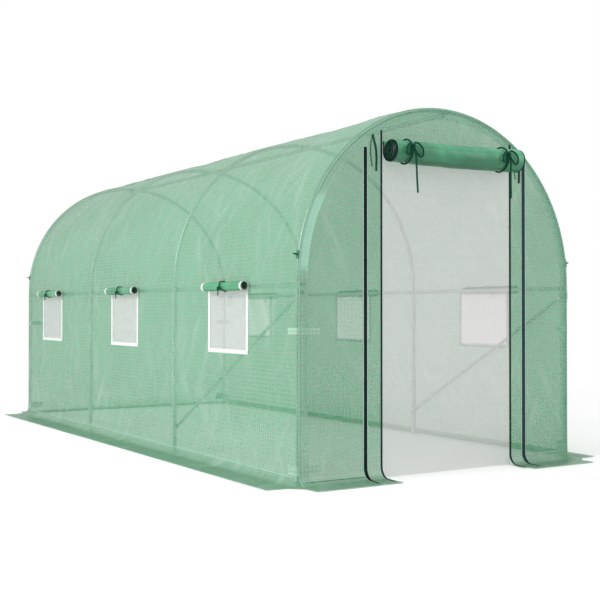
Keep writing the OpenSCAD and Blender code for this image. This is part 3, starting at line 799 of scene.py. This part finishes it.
def make_gable(name, end, outward, doorway):
    """An end panel with its skirt; the front one is open at the doorway and slit beside the outer zips."""
    left, right = OUTER_X[0] - OUTER_ZIP_W / 2, OUTER_X[1] + OUTER_ZIP_W / 2
    slits = ((left - SLIT_W, left), (right, right + SLIT_W))
    stops = [-GABLE_R, *slits[0], *INNER_X, *slits[1], GABLE_R]
    columns = spaced([math.acos(v / GABLE_R) for v in stops], FILM_STEP)
    x, z = gable_points(columns)
    inside = GABLE_R - np.where(z > WALL_H, np.hypot(x, z - WALL_H), np.abs(x))
    zip_gap = np.min([np.abs(x - v) for v in INNER_X + OUTER_X], 0) if doorway else 1.0
    calm = eased(inside, 0.025, 0.12) * eased(zip_gap, 0.0, 0.07) * eased(z, COVE_TOP, COVE_TOP + 0.12)
    push = folded(x, z, GABLE_FOLDS, outward) * calm + brace_push(x, z, outward)
    points = np.stack([x, end + outward * (push - HALF_T), z], -1)

    out, height, _, _, run = skirt_rows(np.full(len(columns), SKIRT))
    low_x, low_y = np.broadcast_to(x[0], out.shape), end + outward * out
    below = np.stack([low_x, low_y, height + flap_wave(low_x, low_y, out)], -1)[:0:-1]
    points = np.concatenate([below, points])
    uvs = np.concatenate([np.stack([COVE_TOP - run, low_x], -1)[:0:-1], np.stack([z, x], -1)])
    ground = on_ground(np.concatenate([out[:0:-1], np.zeros(z.shape)]), END_GROUND)
    keep = np.ones(ground.shape, bool)
    if doorway:
        middle = GABLE_R * np.cos(between(columns))
        # Right of the doorway the whole skirt takes the painted shade
        ground[:len(below) - 1, middle > OUTER_X[1]] = 1
        keep[:len(below) + DOOR_ROWS, (middle > INNER_X[0]) & (middle < INNER_X[1])] = False
        for start, stop in slits:
            keep[:2, (middle > start) & (middle < stop)] = False
    piece = grid_piece(name, points, uvs, [FILM, SHADED_SKIRT_FILM], "cover_sheet", keep, ground)
    area = math.pi * GABLE_R ** 2 / 2 + 2 * HALF_W * (WALL_H + SKIRT - BEND_CUT)
    if doorway:
        area -= (INNER_X[1] - INNER_X[0]) * (HEAD + SKIRT - BEND_CUT)
    return piece


make_main_cover()
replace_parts(make_gable("front_sheet", FRONT, -1, True), "front_panel_left", "front_panel_right",
            "front_panel_top", "door_strip_left", "door_strip_right", "front_skirt_left", "front_skirt_right")
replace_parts(make_gable("rear_sheet", REAR, 1, False), "rear_panel", "rear_skirt")


# Mesh screens and window borders

MESH_STEP = 0.02
BORDER_POINTS, BORDER_H = 24, 0.0016


def make_screen_door():
    """Mesh door between the inner zips, a little slack."""
    left, right = INNER_X
    x, z = np.meshgrid(spaced(INNER_X, MESH_STEP), spaced((0.002, HEAD), MESH_STEP))
    held = np.minimum(eased(x, left, left + 0.15), 1 - eased(x, right - 0.15, right))
    y = node_middle("screen_door", 1) + 0.003 * held + folded(x, z, SCREEN_FOLDS) * held
    piece = grid_piece("mesh_door", np.stack([x, y, z], -1), np.stack([x, z], -1), [DOOR_MESH], "mesh_screen")
    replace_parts(piece, "screen_door")


def window_border(front, rear, sign):
    """White tape along the four edges of a window."""
    half = BORDER_W / 2
    bars = [((front, z), (rear, z), (0, 0, 1)) for z in (SILL + half, WIN_HEAD - half)]
    bars += [((y, SILL + BORDER_W), (y, WIN_HEAD - BORDER_W), (0, 1, 0)) for y in (front + half, rear - half)]
    border = Heap()
    for start, end, across in bars:
        y, z = np.linspace(start, end, BORDER_POINTS).T
        wave = np.abs(0.0004 * ripple(y / 0.03, z / 0.03, 61.0))
        line = np.stack([sign * (HALF_W + 0.0002 + wave), y, z], 1)
        border.add(*tape(line, across, (sign, 0, 0), BORDER_W, BORDER_H))
    return border


def make_windows():
    """Mesh and white border of each window."""
    for side, sign in SIDES:
        for number, (front, rear) in enumerate(WINDOWS, 1):
            y, z = np.meshgrid(spaced((front, rear), MESH_STEP), spaced((SILL, WIN_HEAD), MESH_STEP))
            held = np.sin(np.pi * (y - front) / (rear - front))
            held = held * np.sin(np.pi * (z - SILL) / (WIN_HEAD - SILL))
            flutter = 0.0015 * ripple(y / 0.12, z / 0.2, 51.0 + number + sign) * np.sqrt(np.abs(held))
            x = node_middle(f"{side}_window_screens", 0) + sign * (flutter - 0.005 * held)
            screen = grid_piece(f"{side}_window_mesh_{number}", np.stack([x, y, z], -1), np.stack([y, z], -1),
                                [WINDOW_MESH], "mesh_screen")
            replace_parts(screen, f"{side}_window_screens")
            trim = window_border(front, rear, sign)
            trim = trim.piece(f"{side}_window_border_{number}", [BINDING], "white_binding")
            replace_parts(trim, f"{side}_window_borders")


make_screen_door()
make_windows()


# Rolled-up door and window flaps

DOOR_TIE_D, WINDOW_TIE_D = 0.0105, 0.0065
DOOR_TIES = [end - 0.027 for _, end in spans("door_tie_tails", 0, 0.2)]
DOOR_HEM, WINDOW_HEM = 0.085, 0.028
DOOR_RIM, WINDOW_RIM = 0.008, 0.022
HEM_ROWS = 7
# Spirals: radius of the core, turns, hem, points for each turn
DOOR_SPIRAL, WINDOW_SPIRAL = (0.009, 7, 0.05, 44), (0.005, 4.6, 0.018, 40)
# Rows of the outer colour along a roll's end, and depth where the inner one, a painted shade, starts
DOOR_EDGE_ROWS, WINDOW_EDGE_ROWS, DOOR_DEEP, WINDOW_DEEP = 66, 64, 0.16, 0.24
ROLL_GAP = 0.001
ROLL_EDGE_R = 0.0012
ROLL_DROP, ROLL_GROWTH = 0.010, 0.09
WINDOW_ROLL_R = 0.0295


def roll_profile(radius, core, turns, hem, per_turn):
    """Spiral from the hem at the top down behind the roll, under it and inwards: distance from the axis
    towards the wall, height, depth into the roll from 0 to 1, angle, and the length run so far."""
    angle = -np.linspace(0, turns, round(turns * per_turn) + 1) * 2 * math.pi
    share = np.linspace(0, 1, len(angle))
    size = radius + (core - radius) * share
    rise, flat = np.linspace(1, 0, HEM_ROWS + 1)[:-1], np.zeros(HEM_ROWS)
    towards = np.concatenate([radius + 0.004 * rise, size * np.cos(angle)])
    up = np.concatenate([hem * rise, size * np.sin(angle)])
    run = run_along(np.stack([towards, up], 1))
    return towards, up, np.concatenate([flat, share]), np.concatenate([flat, angle]), run


def roll_edges(name, points, materials, slot, outer_rows):
    """The thick sewn edge that shows as a spiral at both ends of a roll: its own colour on the outer turns,
    painted shade on the inner ones.
    """
    made = Heap()
    for end in (points[HEM_ROWS:, 0], points[HEM_ROWS:, -1]):
        made.add(*tube(end[:outer_rows], ROLL_EDGE_R, 6))
        made.add(*tube(end[outer_rows - 1:], ROLL_EDGE_R, 6), kind=1)
    return made.piece(name, materials, slot)


def door_roll_at(x):
    """How much the rolled door hangs down and how much it has grown at a place along it: it is conical."""
    low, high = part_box("door_roll")
    share = (x - low.x) / (high.x - low.x)
    return -ROLL_DROP * (1 - share), 1 + ROLL_GROWTH * share


def make_door_roll():
    """The rolled door, lying in two ties in front of the doorway's head, with dark zip tape at its ends."""
    low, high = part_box("door_roll")
    radius = (high.y - low.y) / 2 - ROLL_GAP
    centre_y, centre_z = low.y + radius + ROLL_GAP, high.z - DOOR_HEM
    towards, up, depth, turn, run = roll_profile(radius, *DOOR_SPIRAL)
    left, right = low.x + DOOR_RIM, high.x - DOOR_RIM
    along = spaced((low.x, left, right, high.x), 0.014)
    t, x = np.meshgrid(np.arange(len(run)), along, indexing="ij")
    depth, turn = depth[t], turn[t]
    bulge = 0.0034 * ripple(x / 0.16, turn / 2.2, 71.3)
    bulge = bulge + 0.0022 * creases(x, turn * 0.06, 35, 0.05, 0.3, 73.9)
    pinch = sum(-0.0045 * np.exp(-((x - c) / 0.03) ** 2) for c in DOOR_TIES)
    telescoped = 0.008 * ripple(depth * 6, np.zeros_like(x), 77.7) * eased(depth, 0.02, 0.2)
    drop, growth = door_roll_at(x)
    rolled = t >= HEM_ROWS
    size = np.maximum(np.hypot(towards, up)[t], 0.02)
    grow = np.where(rolled, growth + (bulge + pinch) * (1 - 0.75 * depth) / size, 1.0)
    sag = -0.004 * np.sin(np.pi * (x - DOOR_TIES[0]) / (DOOR_TIES[1] - DOOR_TIES[0]))
    forward = np.where(rolled, radius * (growth - 1), 0.0)
    hang = (sag + drop) * np.minimum(t / HEM_ROWS, 1)
    y = np.minimum(centre_y - forward + towards[t] * grow, FRONT - ROLL_GAP)
    points = np.stack([x + telescoped, y, centre_z + up[t] * grow + hang], -1)
    taped = (between(along) < left) | (between(along) > right)
    kinds = np.where(taped, 2, np.where(depth[1:, :1] > DOOR_DEEP, 1, 0))
    piece = grid_piece("rolled_door", points, np.stack([x, run[t]], -1),
                       [DOOR_ROLLED, ROLL_INSIDE_SHADE, OUTER_ZIP], "rolled_sheet", face_materials=kinds)
    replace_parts(piece, "door_roll")
    edges = roll_edges("rolled_door_edges", points, [INNER_ZIP, ROLL_INSIDE_SHADE], "zip", DOOR_EDGE_ROWS)
    return centre_y, centre_z, radius


def make_window_rolls():
    """Each flap rolled up over its window, with the white border of the flap as a rim at both ends."""
    low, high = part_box("left_window_rolls")
    centre_out, centre_z = -low.x - WINDOW_ROLL_R - 0.0006, high.z - WINDOW_HEM
    towards, up, deep, turn, run = roll_profile(WINDOW_ROLL_R, *WINDOW_SPIRAL)
    towards[:HEM_ROWS] = np.linspace(centre_out - HALF_W - ROLL_GAP, WINDOW_ROLL_R, HEM_ROWS + 1)[:-1]
    size = np.maximum(np.hypot(towards, up), 0.012)
    for side, sign in SIDES:
        for number, (front, rear) in enumerate(spans(f"{side}_window_rolls", 1), 1):
            start, stop = front + WINDOW_RIM, rear - WINDOW_RIM
            along = spaced((front, start, stop, rear), 0.012)
            t, y = np.meshgrid(np.arange(len(run)), along, indexing="ij")
            depth = deep[t]
            seed = 81.0 + number + 3 * sign
            bulge = 0.0016 * ripple(y / 0.12, turn[t] / 2.5, seed)
            pinch = -0.003 * np.exp(-((y - (front + rear) / 2) / 0.022) ** 2)
            grow = 1 + (bulge + pinch) * (1 - 0.7 * depth) * (t >= HEM_ROWS) / size[t]
            shift = 0.003 * ripple(depth * 4, np.zeros_like(y), seed + 0.5) * eased(depth, 0.02, 0.2)
            out = np.maximum(centre_out - towards[t] * grow, HALF_W + 0.0008)
            points = np.stack([sign * out, y + shift, centre_z + up[t] * grow], -1)
            white = (between(along) < start) | (between(along) > stop)
            kinds = np.where(depth[1:, :1] > WINDOW_DEEP, 1, np.where(white, 2, 0))
            kinds[:HEM_ROWS] = 0
            piece = grid_piece(f"{side}_window_flap_{number}", points, np.stack([y, run[t]], -1),
                               [ROLLED, ROLL_INSIDE_SHADE, BINDING], "rolled_sheet", face_materials=kinds)
            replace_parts(piece, f"{side}_window_rolls")
            edges = roll_edges(f"{side}_flap_edges_{number}", points, [BINDING, ROLL_INSIDE_SHADE],
                               "white_binding", WINDOW_EDGE_ROWS)
    return centre_out, centre_z


door_roll = make_door_roll()
window_roll = make_window_rolls()


# Zips

ZIP_STEP, ZIP_LIFT, ZIP_VEER, ZIP_H = 0.02, 0.0004, 0.022, 0.0012
# The sewn border beside the tape lies a little lower
ZIP_BORDER, BORDER_SINK, ZIP_BORDER_H = 0.006, 0.0003, 0.0006
# Bare tape under the last tooth, lift of the teeth, and their offset to each side as a share of their width
TEETH_END, TEETH_LIFT, TEETH_ASIDE = 0.03, 0.0008, 0.35
# Zips by their place: x, width, top, and how far out they end
ZIP_PLACES = (("inner", INNER_X, INNER_ZIP_W, INNER_ZIP_TOP, ZIP_REACH - 0.020),
              ("outer", OUTER_X, OUTER_ZIP_W, OUTER_ZIP_TOP, ZIP_REACH - 0.028))
# How much wider than in CAD each one is shown, and its tape; the right outer one's tape is the outer tape made
# lighter, a painted sheen
ZIP_LOOKS = {("left", "inner"): (1.0, INNER_ZIP), ("left", "outer"): (1.15, OUTER_ZIP),
             ("right", "inner"): (1.2, INNER_ZIP), ("right", "outer"): (1.45, SHEEN_ZIP_TAPE)}
TOOTH_PITCH, TOOTH_L, TOOTH_H, TOOTH_SHARE = 0.004, 0.0026, 0.0022, 0.22
# Corners of a tooth along, across and up, as shares of its size
TOOTH = ((-0.5, -0.5, 0), (0.5, -0.5, 0), (0.5, 0.5, 0), (-0.5, 0.5, 0),
         (-0.3, -0.35, 1), (0.3, -0.35, 1), (0.3, 0.35, 1), (-0.3, 0.35, 1))
TOOTH_FACES = ((4, 5, 6, 7), (0, 1, 5, 4), (1, 2, 6, 5), (2, 3, 7, 6), (3, 0, 4, 7))


def make_zip(name, x, width, top, reach, tape_material, edged):
    """A closed coil zip from its top down onto the skirt: tape, two rows of teeth, perhaps a border."""
    path = skirt_path(top, reach, ZIP_LIFT, ZIP_STEP)
    aside = ZIP_VEER * eased(path[:, 0], 0.0, reach)
    line = np.stack([x - aside, FRONT - path[:, 0], path[:, 1]], 1)
    away = np.stack([np.zeros(len(path)), -path[:, 2], path[:, 3]], 1)
    across = np.array((1, 0, 0))
    made = Heap()
    made.add(*tape(line, across, away, width, ZIP_H))
    if edged:
        border = tape(line - BORDER_SINK * away, across, away, width + 2 * ZIP_BORDER, ZIP_BORDER_H)
        made.add(*border, kind=2)
    runs = run_along(line)
    tooth_w = width * TOOTH_SHARE
    for k, run in enumerate(np.arange(TOOTH_PITCH, runs[-1] - TEETH_END, TOOTH_PITCH)):
        place, up = (np.array([np.interp(run, runs, values) for values in v.T]) for v in (line, away))
        ahead = np.cross(up, across)
        base = place + up * TEETH_LIFT + across * tooth_w * (TEETH_ASIDE if k % 2 else -TEETH_ASIDE)
        made.add([base + ahead * TOOTH_L * a + across * tooth_w * b + up * TOOTH_H * c for a, b, c in TOOTH],
                 TOOTH_FACES, kind=1)
    return made.piece(name, [tape_material, ZIP_TEETH] + [ZIP_EDGE_AND_FOLD_HIGHLIGHT] * edged, "zip")


for k, (side, _) in enumerate(SIDES):
    for which, xs, width, top, reach in ZIP_PLACES:
        wider, material = ZIP_LOOKS[side, which]
        made = make_zip(f"{side}_{which}_zip", xs[k], width * wider, top, reach, material, which == "outer")
        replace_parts(made, f"{side}_zips")


# Ties, cords and rope loops

# Free ends from the knot: distance out, along and up, in metres
DOOR_TAIL = ((0.002, 0.004, -0.008), (0.0075, 0.006, -0.024), (0.012, 0.008, -0.040), (0.013, 0.009, -0.058),
             (0.013, 0.010, -0.076), (0.012, 0.011, -0.094), (0.012, 0.012, -0.112), (0.011, 0.013, -0.130),
             (0.011, 0.014, -0.148), (0.010, 0.015, -0.166), (0.010, 0.016, -0.184), (0.010, 0.017, -0.202),
             (0.010, 0.018, -0.220), (0.010, 0.019, -0.238), (0.010, 0.020, -0.254))
WINDOW_TAIL = ((0.0015, 0.003, -0.005), (0.004, 0.003, -0.018), (0.0045, 0.004, -0.031),
               (0.004, 0.004, -0.045))
# Strap from the front's face, the middle of the strip and the door's head
SCREEN_STRAP = ((0.0045, -0.006, 0.048), (0.0045, -0.002, 0.032), (0.0045, 0.003, 0.015),
                (0.005, 0.008, -0.003), (0.005, 0.012, -0.021), (0.005, 0.015, -0.039),
                (0.005, 0.017, -0.057), (0.005, 0.018, -0.075), (0.005, 0.018, -0.093),
                (0.005, 0.017, -0.111), (0.005, 0.016, -0.129), (0.005, 0.016, -0.147))
# The same strap inside the cover
INNER_STRAP = ((0.008, -0.004, 0.044), (0.008, -0.014, 0.026), (0.008, -0.021, 0.006),
               (0.008, -0.025, -0.016), (0.008, -0.026, -0.038), (0.008, -0.024, -0.060),
               (0.008, -0.019, -0.082), (0.008, -0.012, -0.104), (0.008, -0.004, -0.124))
STRAP_D, INNER_STRAP_D, INNER_STRAP_SHARE = 0.012, 0.009, 0.55
# Loops of a bow beside the knot: along and up
LEFT_LOOP = ((-0.002, 0.002), (-0.018, 0.012), (-0.038, 0.000), (-0.050, -0.024), (-0.044, -0.046),
             (-0.026, -0.044), (-0.006, -0.012))
RIGHT_LOOP = ((0.002, 0.003), (0.022, 0.022), (0.048, 0.014), (0.066, -0.014), (0.064, -0.046),
              (0.046, -0.056), (0.022, -0.034), (0.006, -0.010))
SMALL_LOOP = ((0.001, 0.001), (0.007, 0.006), (0.014, 0.002), (0.016, -0.009), (0.010, -0.012),
              (0.003, -0.005))
SMALL_LOOPS = (SMALL_LOOP, tuple((-along, up) for along, up in SMALL_LOOP))
DOOR_KNOT_ANGLE, WINDOW_KNOT_ANGLE = math.radians(163), math.radians(196)
# How far a tie's band leans along the roll, and how much each door tie's end drifts
DOOR_SKEW, WINDOW_SKEW, TAIL_DRIFT = 0.0015, 0.022, (1.25, 0.4)
ROPE_D, ROPE_RING_R = 0.007, 0.009
# A ring's middle out from the cover and in from the part's end; its tab in from there, and the tab's size
RING_OUT, RING_IN, TAB_IN, TAB_L, TAB_W, TAB_H = 0.0118, 0.0115, 0.0112, 0.044, 0.02, 0.0012


def knot(radius):
    """An overhand knot: a short cord wound over itself, round its own middle."""
    turn = np.linspace(0, 2 * math.pi, 60, endpoint=False)
    wide = radius * (1 + 0.45 * np.cos(3 * turn))
    return np.stack([wide * np.cos(2 * turn), 0.75 * radius * np.sin(3 * turn), wide * np.sin(2 * turn)], 1)


def make_tie(name, place, roll, knot_angle, cord_d, loops, skew):
    """A cord round a roll, knotted in a bow on its front. place turns along, out and up from the roll's axis
    into a point of the part. Gives the piece and the knot's place as along, out and up."""
    hold = roll + cord_d / 2
    ring = [(skew * math.sin(a), -hold * math.cos(a), hold * math.sin(a))
            for a in np.linspace(0, 2 * math.pi, 72, endpoint=False)]
    far, clear = hold + cord_d * 0.6, hold + cord_d * 0.9
    centre = np.array((0.0, -far * math.cos(knot_angle), far * math.sin(knot_angle)))
    made = Heap()
    made.add(*tube([place(p) for p in ring], cord_d / 2, closed=True))
    made.add(*tube([place(centre + p) for p in knot(cord_d * 0.75)], cord_d * 0.42, 8, True))
    for loop in loops:
        line = []
        for along, rise in loop:
            up = centre[2] + rise
            line.append((along, math.sqrt(max(clear ** 2 - max(up, 0.0) ** 2, 0.0)), up))
        made.add(*tube(smooth_line([place(p) for p in line], 7), cord_d / 2))
    return made.piece(name, [CORD], "tie_cord"), centre


def make_cord(name, points, diameter):
    """A free hanging end, cut off and sealed."""
    line = smooth_line(points, 4)
    piece = mesh_piece(name, *tube(line, diameter / 2), [CORD], "tie_cord")
    return piece


def make_door_ties():
    """Two bows on the door roll and the two straps beside it."""
    centre_y, centre_z, radius = door_roll
    for (side, _), x, drift in zip(SIDES, DOOR_TIES, TAIL_DRIFT):
        drop, growth = door_roll_at(x)
        y, z = centre_y - radius * (growth - 1), centre_z + drop
        piece, centre = make_tie(f"{side}_door_tie", lambda p: (x + p[0], y - p[1], z + p[2]),
                                 radius * growth - 0.004, DOOR_KNOT_ANGLE, DOOR_TIE_D,
                                 (LEFT_LOOP, RIGHT_LOOP), DOOR_SKEW)
        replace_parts(piece, "door_ties")
        tail = [(x + along * drift, y - centre[1] - out, z + centre[2] + up) for out, along, up in DOOR_TAIL]
        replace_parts(make_cord(f"{side}_door_tie_end", tail, DOOR_TIE_D), "door_tie_tails")
    for (side, _), *edges in zip(SIDES, INNER_X, OUTER_X):
        middle = sum(edges) / 2
        strap = [(middle + along, FRONT - out, HEAD + up) for out, along, up in SCREEN_STRAP]
        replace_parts(make_cord(f"{side}_screen_strap", strap, STRAP_D), "screen_straps")
        strap = [(middle + INNER_STRAP_SHARE * along, FRONT + out, HEAD + up)
                 for out, along, up in INNER_STRAP]
        make_cord(f"{side}_inner_strap", strap, INNER_STRAP_D)


def make_window_ties():
    """A small bow on each window roll, with one hanging end."""
    out, z = window_roll
    for side, sign in SIDES:
        for number, (front, rear) in enumerate(spans(f"{side}_window_rolls", 1), 1):
            y = (front + rear) / 2
            piece, centre = make_tie(f"{side}_window_tie_{number}",
                                     lambda p: (sign * (out + p[1]), y + p[0], z + p[2]),
                                     WINDOW_ROLL_R - 0.0025, WINDOW_KNOT_ANGLE, WINDOW_TIE_D, SMALL_LOOPS,
                                     WINDOW_SKEW)
            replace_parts(piece, f"{side}_window_ties")
            tail = [(sign * (out + centre[1] + away), y + along, z + centre[2] + up)
                    for away, along, up in WINDOW_TAIL]
            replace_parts(make_cord(f"{side}_window_tie_end_{number}", tail, WINDOW_TIE_D), f"{side}_tie_tails")


def make_corner_loops():
    """A ring of rope on a sewn tab at each corner of the cover."""
    low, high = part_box("corner_loops")
    far = HALF_W + RING_OUT
    lean = math.asin((node_middle("corner_loops", 2) - WALL_H) / far)
    along = np.array((0, 1, 0))
    turn = np.linspace(0, 2 * math.pi, 32, endpoint=False)[:, None]
    for side, sign in SIDES:
        away = np.array((sign * math.cos(lean), 0, math.sin(lean)))
        for end, y in (("front", low.y + RING_IN), ("rear", high.y - RING_IN)):
            middle = np.array((0, y, WALL_H)) + away * far
            made = Heap()
            ring = middle + ROPE_RING_R * (np.cos(turn) * away + np.sin(turn) * along)
            made.add(*tube(ring, ROPE_D / 2, closed=True))
            down = np.linspace(-TAB_L / 2, TAB_L / 2, 6)[:, None] * np.cross(away, along)
            made.add(*tape(middle - away * TAB_IN + down, along, away, TAB_W, TAB_H), kind=1)
            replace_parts(made.piece(f"{side}_{end}_loop", [CORD, TAB_AND_SHADE_LINE_TAPE], "tie_cord"), "corner_loops")


make_door_ties()
make_window_ties()
make_corner_loops()


# Corner straps, seams and bolts

STRAP_BANDS = (("upper", 0.80, 0.835), ("lower", 0.053, 0.104))
STRAP_LIFT, STRAP_ON_SIDE = 0.0022, 0.08
STRAP_ON_END = {"left": 0.13, "right": 0.08}
# Points of a strap in its height, on each flat stretch and round the corner
STRAP_ROWS, STRAP_FLAT, STRAP_BEND = 7, 7, 9
HEM_REACH = 0.062
# Hem round an end: name, distance in from the edge, width, lift over the sheet, material
HEM_PARTS = (("outer_edge", -0.003, 0.010, 0.0009, EDGE_FILM), ("hem", 0.027, 0.050, 0.0005, HEM_FILM),
             ("inner_edge", 0.052, 0.003, 0.0011, EDGE_FILM))
HEM_H, PAINTED_LINE_H, PAINTED_LINE_W, SIDE_PAINTED_LINE_W = 0.0005, 0.0006, 0.005, 0.006
# Washer, nut and bolt end: start along the bolt, radius, height, sides, dome
BOLT = ((-0.0008, 0.009, 0.0018, 20, 0.0), (0.0009, 0.0075, 0.0065, 6, 0.0), (0.0072, 0.004, 0.005, 14, 0.3))
BRACE_BOLT = 0.018


def wall_out(z):
    """Distance of the sheet's middle out from the cover's outer face, at a height over the ground."""
    return COVE_R - np.sqrt((COVE_R + HALF_T) ** 2 - np.maximum(COVE_TOP - z, 0) ** 2)


def make_corner_straps():
    """Reinforcing patches on the cover, round each corner leg."""
    corner = EDGE_R + HALF_T
    swing = np.pad(np.linspace(0, math.pi / 2, STRAP_BEND), STRAP_FLAT, mode="edge")
    rest = STRAP_BEND + STRAP_FLAT
    on_side = np.pad(np.linspace(STRAP_ON_SIDE, 0, STRAP_FLAT + 1)[:-1], (0, rest))
    for side, sign in SIDES:
        on_end = np.pad(np.linspace(0, STRAP_ON_END[side], STRAP_FLAT + 1)[1:], (rest, 0))
        for end, y, inward in (("front", FRONT, 1), ("rear", REAR, -1)):
            for place, low, high in STRAP_BANDS:
                z = np.linspace(low, high, STRAP_ROWS)[:, None]
                size = corner + wall_out(z) + STRAP_LIFT
                a = corner - size * np.cos(swing) + on_end
                b = corner - size * np.sin(swing) + on_side
                z = np.broadcast_to(z, a.shape)
                points = np.stack([sign * (HALF_W - a), y + inward * b, z], -1)
                uvs = np.stack([b - a, z], -1)
                grid_piece(f"{side}_{end}_{place}_strap", points, uvs, [STRAP], "cover_sheet")


def make_hems(foot):
    """Hem where the long sheet meets each end panel: on the front a doubled band with a stitched edge at both
    sides, on the rear the outer edge."""
    angles = np.radians(spaced((0, 180), 2.0))
    for name, end, outward, parts in (("front", FRONT, -1, HEM_PARTS), ("rear", REAR, 1, HEM_PARTS[:1])):
        for part, inset, width, lift, material in parts:
            size = GABLE_R - inset
            leg = [(size, o, z, (1, 0, 0), (0, outward * away, rise)) for o, z, away, rise in foot[::-1]]
            leg += [(size, -HALF_T, z, (1, 0, 0), (0, outward, 0))
                    for z in spaced((COVE_TOP, WALL_H), 0.03)[1:-1]]
            arch = [(size * math.cos(a), -HALF_T, WALL_H + size * math.sin(a), (math.cos(a), 0, math.sin(a)),
                     (0, outward, 0)) for a in angles]
            other = [(-x, o, z, (-1, 0, 0), up) for x, o, z, _, up in leg[::-1]]
            x, o, z, across, up = (np.array(values) for values in zip(*leg, *arch, *other))
            line = np.stack([x, end + outward * o, z], 1) + (lift + brace_push(x, z, outward))[:, None] * up
            points, faces, uvs = tape(line, across, up, width, HEM_H)
            mesh_piece(f"{name}_{part}", points, faces, uvs * (1.0, width), [material], "cover_sheet")


def make_painted_fold_lines(foot):
    """Painted lines on the folds at the wall's foot: painted shade at the front's left, painted highlight at
    its right and the sides.
    """
    made = Heap()
    for start, stop, row, kind in ((-GABLE_R + 0.02, OUTER_X[0] - OUTER_ZIP_W, FOLD_ROW, 0),
                                   (OUTER_X[1] + OUTER_ZIP_W, GABLE_R - 0.003, RIGHT_FOLD_ROW, 1)):
        out, z, away, rise = foot[row]
        up = np.array((0, -away, rise))
        line = spaced((start, stop), 0.03)[:, None] * (1, 0, 0) + np.array((0, FRONT - out, z)) + PAINTED_LINE_H * up
        made.add(*tape(line, (0, rise, away), up, PAINTED_LINE_W, PAINTED_LINE_H), kind=kind)
    made.piece("front_fold_painted_line", [TAB_AND_SHADE_LINE_TAPE, ZIP_EDGE_AND_FOLD_HIGHLIGHT], "cover_sheet")
    out, z, away, rise = foot[SIDE_FOLD_ROW]
    for side, sign in SIDES:
        up = np.array((sign * away, 0, rise))
        line = spaced((FRONT + 0.05, REAR - 0.05), 0.05)[:, None] * (0, 1, 0)
        line = line + np.array((sign * (HALF_W + out), 0, z)) + PAINTED_LINE_H * up
        made = tape(line, (-rise, 0, sign * away), up, SIDE_PAINTED_LINE_W, PAINTED_LINE_H)
        mesh_piece(f"{side}_fold_painted_line", *made, [FOLD_HIGHLIGHT_TAPE], "cover_sheet")


def disc(made, place, axis, radius, height, sides, dome):
    """A short round or six-sided body with chamfered edges, standing on a place along an axis."""
    side = np.cross(axis, (0.3, 0.8, 0.52))
    side /= np.linalg.norm(side)
    other = np.cross(axis, side)
    rings = ((1.0, 0.0), (1.0, 0.8), (0.86, 1.0), (0.4, 1.0 + dome))
    points = [place + axis * height * h + radius * r * (math.cos(a) * side + math.sin(a) * other)
              for r, h in rings for a in np.linspace(0, 2 * math.pi, sides + 1)]
    top = range(3 * (sides + 1), 4 * (sides + 1) - 1)
    made.add(points, [*grid_faces(len(rings), sides + 1), top])


def make_bolts():
    """Washer, nut and bolt end at each crossing of the frame's tubes."""
    made = Heap()
    tube_r = node_size("ridge_beam", 0) / 2
    rail_x, rail_z = (node_middle("right_rail", axis) for axis in (0, 2))
    brace_x = node_middle("right_brace", 0) - 0.003
    low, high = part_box("right_brace")
    brace_ends = ((HOOPS[0], high.z - BRACE_BOLT), (HOOPS[1], low.z + BRACE_BOLT))
    places = [((0, y, node_middle("ridge_beam", 2) - tube_r), (0, 0, -1)) for y in HOOPS]
    for _, sign in SIDES:
        places += [((sign * (rail_x - tube_r), y, rail_z), (-sign, 0, 0)) for y in HOOPS]
        places += [((sign * brace_x, y, z), (-sign, 0, 0)) for y, z in brace_ends]
    for place, axis in np.array(places):
        for start, *shape in BOLT:
            disc(made, place + start * axis, axis, *shape)
    made.piece("frame_bolts", [ZINC], "galvanized_tube")


wall_foot = list(zip(*(values[:, 0] for values in skirt_rows(np.array([HEM_REACH]))[:4])))
make_corner_straps()
make_hems(wall_foot)
make_painted_fold_lines(wall_foot)
make_bolts()


# Finishes of the frame

for name in ("hoop_front", "hoop_second", "hoop_third", "hoop_rear", "ridge_beam", "left_rail", "right_rail",
             "left_brace", "right_brace"):
    nodes[name].data.materials.clear()
    nodes[name].data.materials.append(ZINC)
